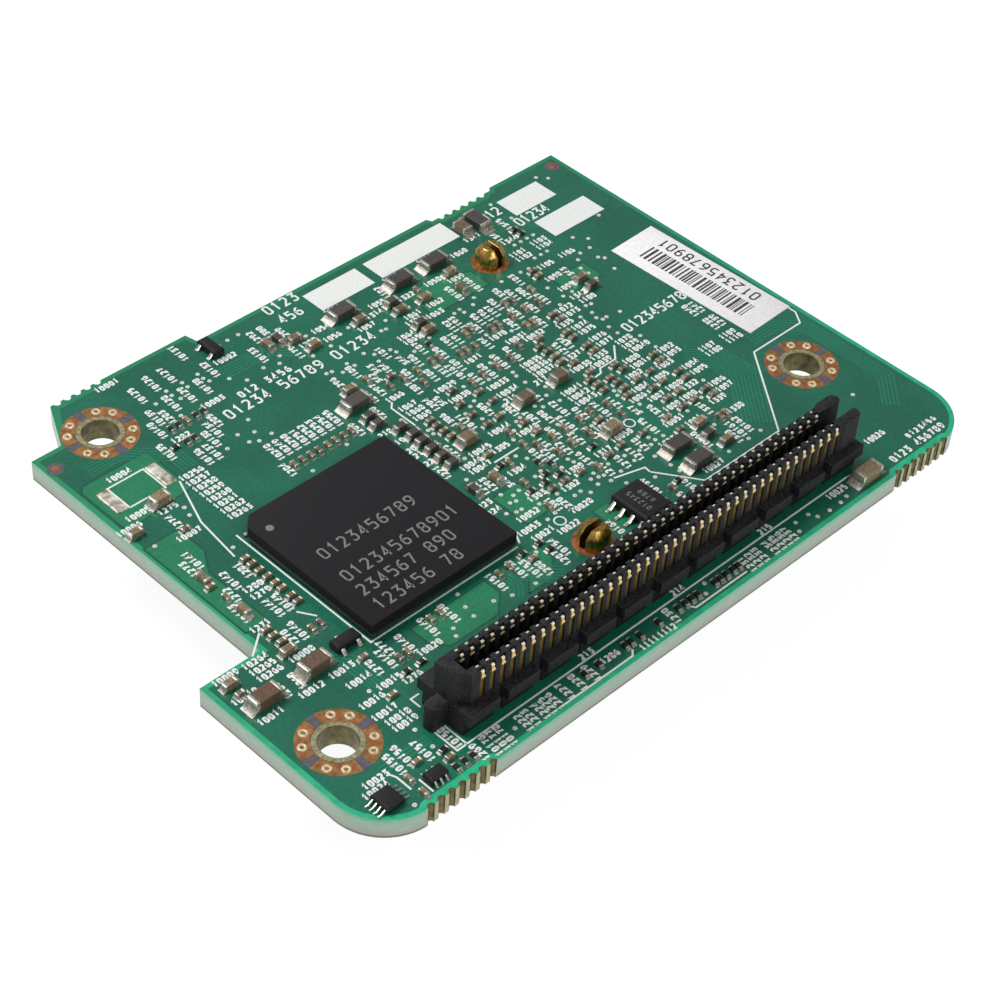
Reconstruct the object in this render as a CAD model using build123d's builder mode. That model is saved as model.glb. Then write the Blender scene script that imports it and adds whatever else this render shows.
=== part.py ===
from build123d import *
import math
import os

os.makedirs("parts", exist_ok=True)

# Mezzanine network card. X runs along the long side of the board, Y across it and
# Z up. The origin is the middle of the board's outline, on the plane that the
# tips of the heatsink's fins stand on. All lengths are in millimetres.

# Circuit board
board_length = 85.1
board_width = 64.3
board_thickness = 2.36
front_corner_radius = 6.0
back_corner_radius = 0.6
wing_reach = 7.2
wing_width = 24.1
wing_corner_radius = 1.2
wing_root_radius = 1.4
notch_length = 6.5
notch_width = 5.55
notch_slant = 2.85
notch_root_radius = 3.0
notch_corner_radius = 0.8
back_step_depth = 1.55
back_step_slant = 0.35
back_step_x_share = 0.368
bitten_edge_depth = 2.2
bitten_edge_start_share = 0.768
bitten_edge_end_share = 0.876
back_right_depth = 1.75

# Rows of small half holes left in the edge where the board broke out of its panel
bite_pitch = 1.27
bite_radius = 0.45
bite_side_count = 8
front_bites = 7
back_left_bites = 5
front_left_bite_share = 0.116
front_right_bite_share = 0.889
back_left_bite_share = 0.201
bitten_edge_bites = 6

# Mounting holes
mounting_hole_radius = 2.0
mounting_hole_shares = [(0.176, 0.898), (0.059, 0.170), (0.912, 0.277)]

# Connector on the top face: four rows of contacts on two upright tongues
contact_pitch = 1.27
contacts_per_row = 40
connector_x_share = 0.482
connector_y_share = 0.0965
tongue_depth = 0.95
slot_width = 1.7
tongue_height = 6.6
ledge_height = 2.95
ledge_undercut_height = 1.65
front_ledge_reach = 1.1
back_ledge_reach = 2.05
ledge_overhang = 0.75
ledge_gap = 1.1
contacts_per_block = 4
end_wall_thickness = 1.35
left_end_margin = 2.55
right_end_margin = 3.7
ear_length = 1.6
ear_depth = 1.4
lug_reach = 1.9
lug_depth = 1.4
lug_offset = 0.15
lug_radius = 0.45
corner_recess_radius = 1.15
groove_width = 0.68
groove_depth = 0.36
contact_width = 0.5
contact_thickness = 0.3
contact_height = 6.15
contact_bow = 0.14
contact_lead_in = 0.6

# Ball-grid chips: one on the top face and the larger controller underneath
ball_height = 0.4
physical_layer_chip_width = 19.0
substrate_thickness = 0.36
mould_cap_height = 1.24
pin_one_chamfer = 1.3
physical_layer_chip_shares = (0.2958, 0.4295)
controller_width = 25.0
controller_substrate_thickness = 0.6
controller_lid_width = 22.0
controller_lid_height = 1.3
controller_lid_edge = 0.5

# Heatsink under the controller: fins point down, and two split brass push pins,
# each with a spring under the base, hold it from opposite corners
heatsink_x_share = 0.6219
pin_spacing_x = 24.05
pin_to_connector = 3.61
pin_to_back_edge = 11.89
pin_margin = 4.0
heatsink_base_thickness = 2.4
fin_height = 6.6
fin_thickness = 0.9
fin_count = 11
thermal_pad_width = 20.0
thermal_pad_thickness = 0.3
push_pin_hole_radius = 1.5
shank_radius = 1.25
barb_radius = 1.68
barb_height = 1.5
barb_tip_height = 0.8
barb_tip_radius = 1.0
pin_head_radius = 2.7
pin_head_thickness = 1.0
pin_head_lift = 0.8
pin_slot_width = 0.75
pin_slot_angles = [90, 0]
spring_wire_radius = 0.25
spring_radius = 1.75
spring_turn_count = 3
spring_step_count = 12
spring_wire_side_count = 4
pocket_clearance = 1.2

# Gaps from the network chip to the parts that are placed from it
chip_column_gap = 1.77
chip_row_gap = 3.98
transistor_gap = 0.66
tall_capacitor_gap = 1.16
small_capacitor_gap = 0.84

# Small chips with bent leads. Length runs along the rows of leads, and reach is how
# far a lead stands out from the body
chip_stand_off = 0.12
chip_edge_chamfer = 0.2
lead_thickness = 0.16
lead_exit_share = 0.45
lead_knee_share = 0.4
memory_chip = dict(length=4.9, depth=3.85, height=1.5, pitch=1.27, lead=0.44, reach=1.15)
sensor_chip = dict(length=2.3, depth=2.1, height=0.85, pitch=0.53, lead=0.2, reach=0.85)
logic_chip = dict(length=2.1, depth=1.25, height=0.95, pitch=0.65, lead=0.24, reach=0.5)
transistor = dict(length=2.9, depth=1.35, height=1.0, pitch=1.9, lead=0.45, reach=0.6)

# Chip parts with two end caps: length, depth and height
small_part = (1.0, 0.52, 0.5)
resistor_part = (1.0, 0.52, 0.35)
medium_part = (1.6, 0.82, 0.8)
large_part = (2.05, 1.3, 1.1)
tall_part = (3.2, 1.65, 1.4)
power_part = (3.2, 1.65, 1.1)
end_cap_share = 0.2
body_step = 0.03

# Bare solder pads of the large resistor that isn't fitted, and the white label
bare_pad_length = 3.55
bare_pad_width = 1.35
bare_pad_height = 0.18
bare_pad_spacing = 6.05
bare_pad_edge = 0.08
label_length = 20.1
label_width = 6.9
label_thickness = 0.1
label_tilt = 2.0

# The small parts are placed on a grid of this many steps along and across the board
layout_columns = 86
layout_rows = 65

# Levels, from the tips of the fins upward
heatsink_top = fin_height + heatsink_base_thickness
pad_top = heatsink_top + thermal_pad_thickness
controller_height = ball_height + controller_substrate_thickness + controller_lid_height
board_bottom = pad_top + controller_height
board_top = board_bottom + board_thickness

# Edges of the board
left, right = -board_length / 2, board_length / 2
front, back = -board_width / 2, board_width / 2
overrun = board_thickness


def on_board(shares):
    """Place on the board, from shares of its length and width."""
    return (left + shares[0] * board_length, front + shares[1] * board_width)


# Connector: places that the housing, the contacts and the heatsink share
connector_x, connector_y = on_board((connector_x_share, connector_y_share))
row_length = (contacts_per_row - 1) * contact_pitch
tongues_depth = 2 * tongue_depth + slot_width
tongues_front = connector_y - tongues_depth / 2
tongues_back = connector_y + tongues_depth / 2
housing_left = connector_x - row_length / 2 - left_end_margin
housing_right = connector_x + row_length / 2 + right_end_margin
ledge_front = tongues_front - front_ledge_reach
ledge_back = tongues_back + back_ledge_reach

# The push pins stand between the connector and the back edge, and the heatsink and the
# controller share their centre
heatsink_x = on_board((heatsink_x_share, 0))[0]
front_pin_y = ledge_back + pin_to_connector
back_pin_y = back - pin_to_back_edge
heatsink_y = (front_pin_y + back_pin_y) / 2
pin_spacing_y = back_pin_y - front_pin_y
push_pins = [
    (heatsink_x + pin_spacing_x / 2, back_pin_y),
    (heatsink_x - pin_spacing_x / 2, front_pin_y),
]

# Network chip: its centre and the edges that its neighbours are placed from
chip_x, chip_y = on_board(physical_layer_chip_shares)
chip_left = chip_x - physical_layer_chip_width / 2
chip_front = chip_y - physical_layer_chip_width / 2
chip_back = chip_y + physical_layer_chip_width / 2


def save(builder, name):
    builder.part.label = name
    export_step(builder.part, "parts/" + name + ".step")


def circuit_board():
    upper_left = left + wing_reach
    wing_top = front + wing_width
    notch_floor = back - notch_width
    notch_end = upper_left + notch_length
    step_x = left + back_step_x_share * board_length
    bitten_start = left + bitten_edge_start_share * board_length
    bitten_end = left + bitten_edge_end_share * board_length
    with BuildPart() as board:
        with BuildSketch(Plane.XY.offset(board_bottom)):
            with BuildLine():
                Polyline(
                    (left, front),
                    (right, front),
                    (right, back - back_right_depth),
                    (bitten_end + back_step_slant, back - back_right_depth),
                    (bitten_end, back - bitten_edge_depth),
                    (bitten_start, back - bitten_edge_depth),
                    (bitten_start - back_step_slant, back - back_step_depth),
                    (step_x + back_step_slant, back - back_step_depth),
                    (step_x, back),
                    (notch_end, back),
                    (notch_end - notch_slant, notch_floor),
                    (upper_left, notch_floor),
                    (upper_left, wing_top),
                    (left, wing_top),
                    close=True,
                )
            face = make_face()
            corners = face.vertices()

            def near(x, y):
                return corners.sort_by_distance((x, y, board_bottom))[0]

            fillet([near(left, front), near(right, front)], front_corner_radius)
            fillet(near(right, back - back_right_depth), back_corner_radius)
            fillet(near(notch_end - notch_slant, notch_floor), notch_root_radius)
            fillet(near(upper_left, notch_floor), notch_corner_radius)
            fillet(near(upper_left, wing_top), wing_root_radius)
            fillet(near(left, wing_top), wing_corner_radius)
        extrude(amount=board_thickness)
        with BuildSketch(Plane.XY.offset(board_bottom)):
            with Locations([on_board(place) for place in mounting_hole_shares]):
                Circle(mounting_hole_radius)
            with Locations(push_pins):
                Circle(push_pin_hole_radius)
            with Locations(
                on_board((front_left_bite_share, 0)), on_board((front_right_bite_share, 0))
            ):
                with GridLocations(bite_pitch, 0, front_bites, 1):
                    RegularPolygon(bite_radius, bite_side_count, rotation=180 / bite_side_count)
            with Locations((left + back_left_bite_share * board_length, back)):
                with GridLocations(bite_pitch, 0, back_left_bites, 1):
                    RegularPolygon(bite_radius, bite_side_count, rotation=180 / bite_side_count)
            with Locations(((bitten_start + bitten_end) / 2, back - bitten_edge_depth)):
                with GridLocations(bite_pitch, 0, bitten_edge_bites, 1):
                    RegularPolygon(bite_radius, bite_side_count, rotation=180 / bite_side_count)
        extrude(amount=board_thickness, mode=Mode.SUBTRACT)
    save(board, "circuit_board")


# Each row: the y of the tongue's face that its grooves are cut in, the side that the
# face looks to, and the turn of its contacts about the upright axis
contact_rows = {
    "contact_row_a": (tongues_back, 1, 0),
    "contact_row_b": (tongues_back - tongue_depth, -1, 180),
    "contact_row_c": (tongues_front + tongue_depth, 1, 0),
    "contact_row_d": (tongues_front, -1, 180),
}


def rectangle(x_from, x_to, y_from, y_to, mode=Mode.ADD):
    """A rectangle in the current sketch, given by its edges."""
    with Locations(((x_from + x_to) / 2, (y_from + y_to) / 2)):
        Rectangle(x_to - x_from, y_to - y_from, mode=mode)


def connector_housing():
    ear_start = housing_right - ear_length
    with BuildPart() as housing:
        # Foot that stands on the board, set back under the ledge
        with BuildSketch(Plane.XY.offset(board_top)):
            foot_front = ledge_front + ledge_overhang
            foot_back = ledge_back - ledge_overhang
            rectangle(housing_left, housing_right, foot_front, foot_back)
        extrude(amount=ledge_undercut_height)
        with BuildSketch(Plane.XY.offset(board_top + ledge_undercut_height)):
            rectangle(housing_left, housing_right, ledge_front, ledge_back)
        extrude(amount=ledge_height - ledge_undercut_height)
        # Locating lug at the left end, round at its outer corners
        with BuildSketch(Plane.XY.offset(board_top)):
            lug_front = connector_y - lug_offset
            rectangle(housing_left - lug_reach, housing_left, lug_front, lug_front + lug_depth)
        extrude(amount=ledge_height)
        fillet(housing.edges().filter_by(Axis.Z).group_by(Axis.X)[0], lug_radius)
        # Two tongues, joined by the end wall on the left and ending in ears on the right,
        # with a groove in their faces for each contact
        with BuildSketch(Plane.XY.offset(board_top + ledge_height)):
            rectangle(housing_left, ear_start, tongues_front, tongues_back)
            for ear_y in (tongues_front + tongue_depth / 2, tongues_back - tongue_depth / 2):
                with Locations((ear_start, ear_y)):
                    SlotOverall(2 * ear_length, ear_depth)
            slot_front = tongues_front + tongue_depth
            slot_back = tongues_back - tongue_depth
            slot_left = housing_left + end_wall_thickness
            rectangle(slot_left, housing_right, slot_front, slot_back, mode=Mode.SUBTRACT)
            for face_y, facing, turn in contact_rows.values():
                with Locations((connector_x, face_y - facing * groove_depth / 2)):
                    with GridLocations(contact_pitch, 0, contacts_per_row, 1):
                        Rectangle(groove_width, groove_depth, mode=Mode.SUBTRACT)
            with Locations((housing_left, tongues_front)):
                Circle(corner_recess_radius, mode=Mode.SUBTRACT)
        extrude(amount=tongue_height - ledge_height)
        # Gaps that part the ledges into blocks
        block_pitch = contacts_per_block * contact_pitch
        blocks = contacts_per_row // contacts_per_block
        with BuildSketch(Plane.XY.offset(board_top)):
            for gap_front, gap_back in ((ledge_front, tongues_front), (tongues_back, ledge_back)):
                with Locations((connector_x, (gap_front + gap_back) / 2)):
                    with GridLocations(block_pitch, 0, blocks, 1):
                        Rectangle(ledge_gap, gap_back - gap_front)
        extrude(amount=ledge_height, mode=Mode.SUBTRACT)
    save(housing, "connector_housing")


def contact_row(name):
    """Forty spring contacts: each a blade that bows outward and thins at its tip."""
    face_y, facing, turn = contact_rows[name]
    length = contact_height - ledge_height
    foot = (connector_x, face_y - facing * groove_depth, board_top + ledge_height)
    with BuildPart() as contact:
        with BuildSketch(Plane.YZ):
            with BuildLine():
                Polyline(
                    (0, 0),
                    (contact_thickness, 0),
                    (contact_thickness + contact_bow, length - contact_lead_in),
                    (contact_thickness / 2, length),
                    (0, length),
                    close=True,
                )
            make_face()
        extrude(amount=contact_width / 2, both=True)
    with BuildPart() as row:
        with Locations(Location(foot, (0, 0, turn))):
            with GridLocations(contact_pitch, 0, contacts_per_row, 1):
                add(contact.part)
    save(row, name)


def slab(width, thickness, level, place, depth=None):
    """A rectangular slab standing on the given level."""
    with BuildSketch(Plane.XY.offset(level)) as outline:
        with Locations(place):
            Rectangle(width, depth or width)
    extrude(outline.sketch, amount=thickness)


def physical_layer_chip():
    place = (chip_x, chip_y)
    substrate_top = board_top + ball_height + substrate_thickness
    with BuildPart() as substrate:
        slab(physical_layer_chip_width, substrate_thickness, board_top + ball_height, place)
        chamfer(pin_one_edge(substrate), pin_one_chamfer)
    save(substrate, "chip_substrate")
    with BuildPart() as cap:
        slab(physical_layer_chip_width, mould_cap_height, substrate_top, place)
        chamfer(pin_one_edge(cap), pin_one_chamfer)
    save(cap, "chip_mould_cap")


def pin_one_edge(builder):
    """The upright edge at the chip's back left corner."""
    return builder.edges().filter_by(Axis.Z).sort_by(Axis.Y)[-2:].sort_by(Axis.X)[0]


def controller():
    place = (heatsink_x, heatsink_y)
    substrate_top = board_bottom - ball_height
    substrate_bottom = substrate_top - controller_substrate_thickness
    with BuildPart() as substrate:
        slab(controller_width, controller_substrate_thickness, substrate_bottom, place)
    save(substrate, "controller_substrate")
    with BuildPart() as lid:
        slab(controller_lid_width, controller_lid_height, pad_top, place)
        chamfer(lid.faces().sort_by(Axis.Z)[0].edges(), controller_lid_edge)
    save(lid, "controller_lid")
    with BuildPart() as pad:
        slab(thermal_pad_width, thermal_pad_thickness, heatsink_top, place)
    save(pad, "thermal_pad")


def heatsink():
    length = pin_spacing_x + 2 * pin_margin
    width = pin_spacing_y + 2 * pin_margin
    fin_pitch = (length - fin_thickness) / (fin_count - 1)
    pocket = 2 * (spring_radius + spring_wire_radius + pocket_clearance)
    with BuildPart() as sink:
        slab(length, heatsink_base_thickness, fin_height, (heatsink_x, heatsink_y), width)
        with BuildSketch():
            with Locations((heatsink_x, heatsink_y)):
                with GridLocations(fin_pitch, 0, fin_count, 1):
                    Rectangle(fin_thickness, width)
            # Room for each push pin and its spring, open at the heatsink's corner
            for side, (pin_x, pin_y) in zip((1, -1), push_pins):
                with Locations((pin_x + side * pin_margin / 2, pin_y + side * pin_margin / 2)):
                    Rectangle(pocket + pin_margin, pocket + pin_margin, mode=Mode.SUBTRACT)
        extrude(amount=fin_height)
        with BuildSketch(Plane.XY.offset(fin_height)):
            with Locations(push_pins):
                Circle(push_pin_hole_radius)
        extrude(amount=heatsink_base_thickness, mode=Mode.SUBTRACT)
    save(sink, "heatsink")


def push_pin(name, place, slot_angle):
    """A turned pin, split at its barbed end so that it can be pressed through the board."""
    head_top = pin_head_lift + pin_head_thickness
    barb_top = board_top + barb_height
    with BuildPart() as pin:
        with BuildSketch(Plane((*place, 0), x_dir=(1, 0, 0), z_dir=(0, -1, 0))):
            with BuildLine():
                Polyline(
                    (0, pin_head_lift),
                    (pin_head_radius, pin_head_lift),
                    (pin_head_radius, head_top),
                    (shank_radius, head_top),
                    (shank_radius, board_top),
                    (barb_radius, board_top),
                    (barb_radius, barb_top),
                    (barb_tip_radius, barb_top + barb_tip_height),
                    (0, barb_top + barb_tip_height),
                    close=True,
                )
            make_face()
        revolve(axis=Axis((*place, 0), (0, 0, 1)))
        slot_floor = board_bottom - barb_height
        with BuildSketch(Plane.XY.offset(slot_floor)):
            with Locations(Location((*place, 0), (0, 0, slot_angle))):
                Rectangle(2 * pin_head_radius, pin_slot_width)
        extrude(amount=barb_top + barb_tip_height - slot_floor, mode=Mode.SUBTRACT)
    save(pin, name)


def push_pin_spring(name, place):
    """A coil spring round the shank, between the pin's head and the heatsink's base."""
    start = pin_head_lift + pin_head_thickness + spring_wire_radius
    rise = fin_height - spring_wire_radius - start
    steps = spring_turn_count * spring_step_count
    points = []
    for step in range(steps + 1):
        angle = math.radians(360 * step / spring_step_count)
        points.append(
            (
                place[0] + spring_radius * math.cos(angle),
                place[1] + spring_radius * math.sin(angle),
                start + rise * step / steps,
            )
        )
    with BuildPart() as spring:
        with BuildLine():
            path = Polyline(*points)
        with BuildSketch(Plane(path @ 0, z_dir=path % 0)):
            RegularPolygon(spring_wire_radius, spring_wire_side_count)
        sweep(transition=Transition.RIGHT)
    save(spring, name)


def leaded_chip(name, chip, place, angle, lead_counts):
    """A moulded body and, in a node of their own, the bent leads on its two long sides."""
    spot = Location((*place, board_top), (0, 0, angle))
    with BuildPart() as body:
        with BuildSketch(Plane(spot).offset(chip_stand_off)):
            Rectangle(chip["length"], chip["depth"])
        extrude(amount=chip["height"] - chip_stand_off)
        chamfer(body.faces().sort_by(Axis.Z)[-1].edges(), chip_edge_chamfer)
    save(body, name + "_body")

    knee = chip["reach"] * lead_knee_share
    exit_height = chip["height"] * lead_exit_share
    with BuildPart() as leads:
        for side, count in zip((-1, 1), lead_counts):
            for number in range(count):
                shift = (number - (count - 1) / 2) * chip["pitch"]
                root = spot * Location((shift, side * chip["depth"] / 2, 0), (0, 0, side * 90))
                with BuildSketch(Plane(root * Location((0, 0, 0), (90, 0, 0)))):
                    with BuildLine():
                        Polyline(
                            (0, exit_height),
                            (knee, 0),
                            (chip["reach"], 0),
                            (chip["reach"], lead_thickness),
                            (knee + lead_thickness, lead_thickness),
                            (0, exit_height + lead_thickness),
                            close=True,
                        )
                    make_face()
                extrude(amount=chip["lead"] / 2, both=True)
    save(leads, name + "_leads")


def on_layout(shares):
    """Place on the board, in steps of the layout grid from the middle."""
    return (shares[0] * board_length / layout_columns, shares[1] * board_width / layout_rows)


def layout(table):
    """Places of several small parts, from their layout shares."""
    return [on_layout(shares) for shares in table]


def chip_parts(name, size, x_shares, y_shares, more_along_x=(), more_along_y=()):
    """Small two-ended parts along X and along Y, each a plain block."""
    length, depth, height = size
    along_x = layout(x_shares) + list(more_along_x)
    along_y = layout(y_shares) + list(more_along_y)
    spots = [Location((*place, 0)) for place in along_x]
    spots += [Location((*place, 0), (0, 0, 90)) for place in along_y]
    with BuildPart() as parts:
        with BuildSketch(Plane.XY.offset(board_top)):
            with Locations(spots):
                Rectangle(length, depth)
        extrude(amount=height)
    save(parts, name)


def capped_parts(name, size, shares, more_along_x=()):
    """Larger two-ended parts: a body a little slimmer than its two end caps."""
    length, depth, height = size
    cap = length * end_cap_share
    along_x = layout(shares) + list(more_along_x)
    with BuildPart() as parts:
        with BuildSketch(Plane.XY.offset(board_top)):
            with Locations(along_x):
                with GridLocations(length - cap, 0, 2, 1):
                    Rectangle(cap, depth)
        extrude(amount=height)
        with BuildSketch(Plane.XY.offset(board_top + body_step)):
            with Locations(along_x):
                Rectangle(length - 2 * cap, depth - 2 * body_step)
        extrude(amount=height - 2 * body_step)
    save(parts, name)


def bare_pads():
    x, y = on_layout(bare_pad_place_shares)
    with BuildPart() as pads:
        with BuildSketch(Plane.XY.offset(board_top)):
            with Locations((x, y)):
                with GridLocations(bare_pad_spacing, 0, 2, 1):
                    Rectangle(bare_pad_width, bare_pad_length)
        extrude(amount=bare_pad_height)
        chamfer(pads.faces().group_by(Axis.Z)[-1].edges(), bare_pad_edge)
    save(pads, "bare_pad_solder")


def barcode_label():
    x, y = on_layout(label_place_shares)
    with BuildPart() as label:
        with BuildSketch(Plane.XY.offset(board_top)):
            with Locations(Location((x, y, 0), (0, 0, label_tilt))):
                Rectangle(label_width, label_length)
        extrude(amount=label_thickness)
    save(label, "barcode_label")


# Places of the small parts, as layout shares (see on_layout)
memory_chip_place_shares = (5.4, -18.6)
sensor_chip_place_shares = (-39.45, -29.55)
logic_chip_place_shares = (-34.4, -30.35)
back_transistor_place_shares = (-10.95, 28.7)
bare_pad_place_shares = (-30.35, 16.9)
label_place_shares = (38.4, 2.95)

power_inductor_x_shares = [
    (3.55, 24.15), (12.2, 24.15), (17.4, 24.15), (-5.45, 11.95), (15.0, -14.8), (15.0, -17.75),
]
power_inductor_y_shares = [(26.5, 26.5)]
tall_capacitor_shares = [(-39.65, -13.4), (26.35, -30.75)]
large_capacitor_x_shares = [(-29.95, 13.7), (8.3, 0.8), (13.6, 0.9), (-0.7, 0.2), (11.8, -8.5)]
large_capacitor_y_shares = [(24.3, 26.6)]
medium_capacitor_x_shares = [
    (-34.7, 11.55), (-34.0, -10.1), (-40.8, -9.85), (-2.3, 22.0), (4.3, 22.0), (8.8, 20.4),
    (12.3, 20.3), (17.6, 21.8), (8.8, 15.9), (-4.4, 14.0), (19.6, -13.8), (19.6, -17.5),
    (28.0, 11.5), (-3.2, 24.1),
]
medium_capacitor_y_shares = [
    (-33.8, 2.4), (-33.7, -3.4), (-6.0, 25.2), (-2.55, -5.9), (16.6, 18.8),
]
bead_x_shares = [
    (-4.2, 4.5), (-4.3, 3.1), (-4.3, 1.6), (-4.3, 0.15), (-4.3, -1.35), (-4.5, 6.1),
    (9.0, 22.0), (8.9, 17.3), (-5.9, 8.1), (-5.8, 9.5), (28.0, 9.8), (18.9, -15.6),
]
bead_y_shares = [(-4.6, 25.2), (-5.5, -5.8)]

small_capacitor_x_shares = [
    (-33.7, -6.6), (-33.7, -7.65), (-33.6, -8.75), (-33.9, 1.2),
    (-40.8, -11.25), (-30.5, -20.6), (-8.0, -16.5), (-34.4, -28.0), (-31.8, -29.55),
    (-30.6, 9.0), (-1.4, 5.0), (-1.4, 4.0), (-1.4, 2.9), (-1.4, 1.8),
    (21.0, 9.1), (21.0, 8.0), (19.9, 5.9), (19.8, 4.8), (19.9, 2.9), (19.9, 1.8),
    (24.9, 16.0), (24.8, 15.0), (15.9, 6.1), (16.0, 5.0), (15.9, 3.85), (15.8, 2.8),
    (16.8, 1.8), (16.9, 7.1), (16.9, -0.4), (16.0, -1.3), (16.0, -2.4), (15.9, -3.5),
    (17.8, -2.5), (17.9, -3.5), (17.8, -4.6), (17.2, -5.7), (20.0, -2.4), (19.8, -1.35),
    (21.9, -4.6), (19.9, -4.55), (20.1, -6.7), (21.7, -6.6), (24.2, -2.9), (24.1, -4.0),
    (24.2, -6.6), (24.1, -7.75), (20.0, -8.8), (21.8, -8.8), (20.3, -10.8), (22.0, -10.8),
    (17.7, -10.9), (24.2, -10.4), (24.2, -11.5), (13.9, -10.9),
    (2.6, 2.8), (2.7, 0.7), (4.5, 0.8), (5.8, 3.0), (5.7, 5.0), (2.8, 4.8), (3.7, 7.0),
    (5.8, -1.6), (5.8, -3.5), (-0.6, -2.7), (0.7, -10.7), (2.5, -10.7), (4.7, -10.8),
    (8.8, -10.9), (10.8, -10.7), (0.4, 12.9), (12.0, -6.4), (17.3, -13.1),
]
small_capacitor_y_shares = [
    (-30.4, -9.4), (-29.3, -9.4), (-33.75, -0.9), (-26.85, -17.6), (-25.8, -17.6),
    (-21.2, -15.9), (-20.0, -15.9), (-12.05, -15.9), (-10.7, -15.9), (-1.5, -12.3),
    (10.0, -18.7), (-36.3, -29.0), (-36.4, -31.0), (-20.2, 21.4),
    (18.3, 13.8), (19.4, 13.7), (22.4, 13.7), (14.2, 11.7), (15.2, 11.7), (17.4, 11.8),
    (19.4, 11.8), (21.4, 11.6), (17.5, 9.6), (18.4, 9.5), (14.4, 7.7),
    (0.3, 2.1), (3.4, -1.8), (3.3, -4.0), (4.3, -5.0), (6.4, -5.1), (8.3, -5.0),
    (10.5, -5.1), (12.2, -4.9), (14.5, -5.3), (14.5, -7.4), (6.6, -11.4), (5.2, -7.2),
    (7.3, -7.1), (9.7, -7.2), (-0.8, -8.2), (0.1, -5.2),
    (-0.7, 11.8), (1.2, 11.8), (3.2, 11.8), (5.4, 11.9), (6.4, 11.8), (8.6, 10.8),
    (9.5, 10.8), (10.7, 10.7), (11.4, 12.9), (12.4, 13.1), (-1.9, 14.1), (2.4, 9.9), (6.2, 6.6),
    (8.0, 6.8), (10.1, 6.8), (12.2, 6.8), (22.0, -14.5), (22.9, -14.5), (12.7, 21.9),
]
resistor_x_shares = [
    (-27.5, -19.3), (-25.6, -19.3), (-8.3, -15.4), (-6.0, -15.4), (-5.7, -16.6), (-31.6, -28.5),
    (-23.7, 19.0), (-0.8, -4.75), (1.8, -8.6), (-1.1, -9.5), (0.9, -9.5), (2.9, -9.5),
    (8.5, -8.9), (28.9, 22.9), (29.0, 21.9), (11.3, -18.2),
]
resistor_y_shares = [
    (-32.2, -30.8), (-31.15, -30.8), (-30.1, -30.8), (-22.2, 21.5), (-21.2, 21.5), (-18.9, 21.5),
    (-17.9, 21.5), (-22.2, 18.9), (-21.2, 18.9), (2.5, -6.9), (3.4, -7.9), (7.3, 14.2),
]
front_row_y_share = -30.55
front_row_x_shares = [
    -15.4, -13.5, -9.9, -9.1, -7.8, -5.2, -2.4, -1.4, -0.5, 0.4, 2.9, 3.7, 4.6, 5.6, 6.4,
]
front_row = layout([(x_share, front_row_y_share) for x_share in front_row_x_shares])

# Parts placed from the network chip: a column beside it, a row behind it and a transistor
# at its front corner
chip_column_shares = [0.84, 0.79, 0.73, 0.67, 0.61, 0.56, 0.49, 0.44]
chip_column = [
    (chip_left - chip_column_gap, chip_front + share * physical_layer_chip_width)
    for share in chip_column_shares
]
chip_row_shares = [0.56, 0.617, 0.675, 0.73, 0.795, 0.85, 0.91, 0.965]
chip_row = [
    (chip_left + share * physical_layer_chip_width, chip_back + chip_row_gap)
    for share in chip_row_shares
]
front_transistor_place = (
    chip_left - transistor_gap - transistor["length"] / 2,
    chip_front + transistor["depth"],
)
beside_transistor = (
    front_transistor_place[0] - transistor["length"] / 2 - tall_capacitor_gap - tall_part[0] / 2,
    chip_front + tall_part[1] / 2,
)
before_transistor = (
    front_transistor_place[0],
    chip_front - small_capacitor_gap - small_part[1] / 2,
)

circuit_board()
connector_housing()
for row_name in contact_rows:
    contact_row(row_name)
physical_layer_chip()
controller()
heatsink()
for number, (place, slot_angle) in enumerate(zip(push_pins, pin_slot_angles), start=1):
    push_pin("push_pin_" + str(number), place, slot_angle)
    push_pin_spring("push_pin_spring_" + str(number), place)
leaded_chip("memory_chip", memory_chip, on_layout(memory_chip_place_shares), 90, (4, 4))
leaded_chip("sensor_chip", sensor_chip, on_layout(sensor_chip_place_shares), 90, (4, 4))
leaded_chip("logic_chip", logic_chip, on_layout(logic_chip_place_shares), 0, (3, 3))
leaded_chip("front_transistor", transistor, front_transistor_place, 0, (2, 1))
leaded_chip("back_transistor", transistor, on_layout(back_transistor_place_shares), -90, (2, 1))
chip_parts("power_inductors", power_part, power_inductor_x_shares, power_inductor_y_shares)
capped_parts("tall_capacitors", tall_part, tall_capacitor_shares, more_along_x=[beside_transistor])
chip_parts("large_capacitors", large_part, large_capacitor_x_shares, large_capacitor_y_shares)
chip_parts("medium_capacitors", medium_part, medium_capacitor_x_shares, medium_capacitor_y_shares)
chip_parts("ferrite_beads", medium_part, bead_x_shares, bead_y_shares)
chip_parts(
    "small_capacitors", small_part, small_capacitor_x_shares, small_capacitor_y_shares,
    more_along_x=chip_column + [before_transistor], more_along_y=chip_row,
)
chip_parts("resistors", resistor_part, resistor_x_shares, resistor_y_shares, more_along_y=front_row)
bare_pads()
barcode_label()
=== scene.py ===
"""Looks of a mezzanine network card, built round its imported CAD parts.

Places come from the frame, or lie on a layout grid over its board. Sizes are in metres,
written as millimetres times MM.
"""

import math
import random

import bmesh
import bpy
from mathutils import Matrix, Vector


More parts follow.
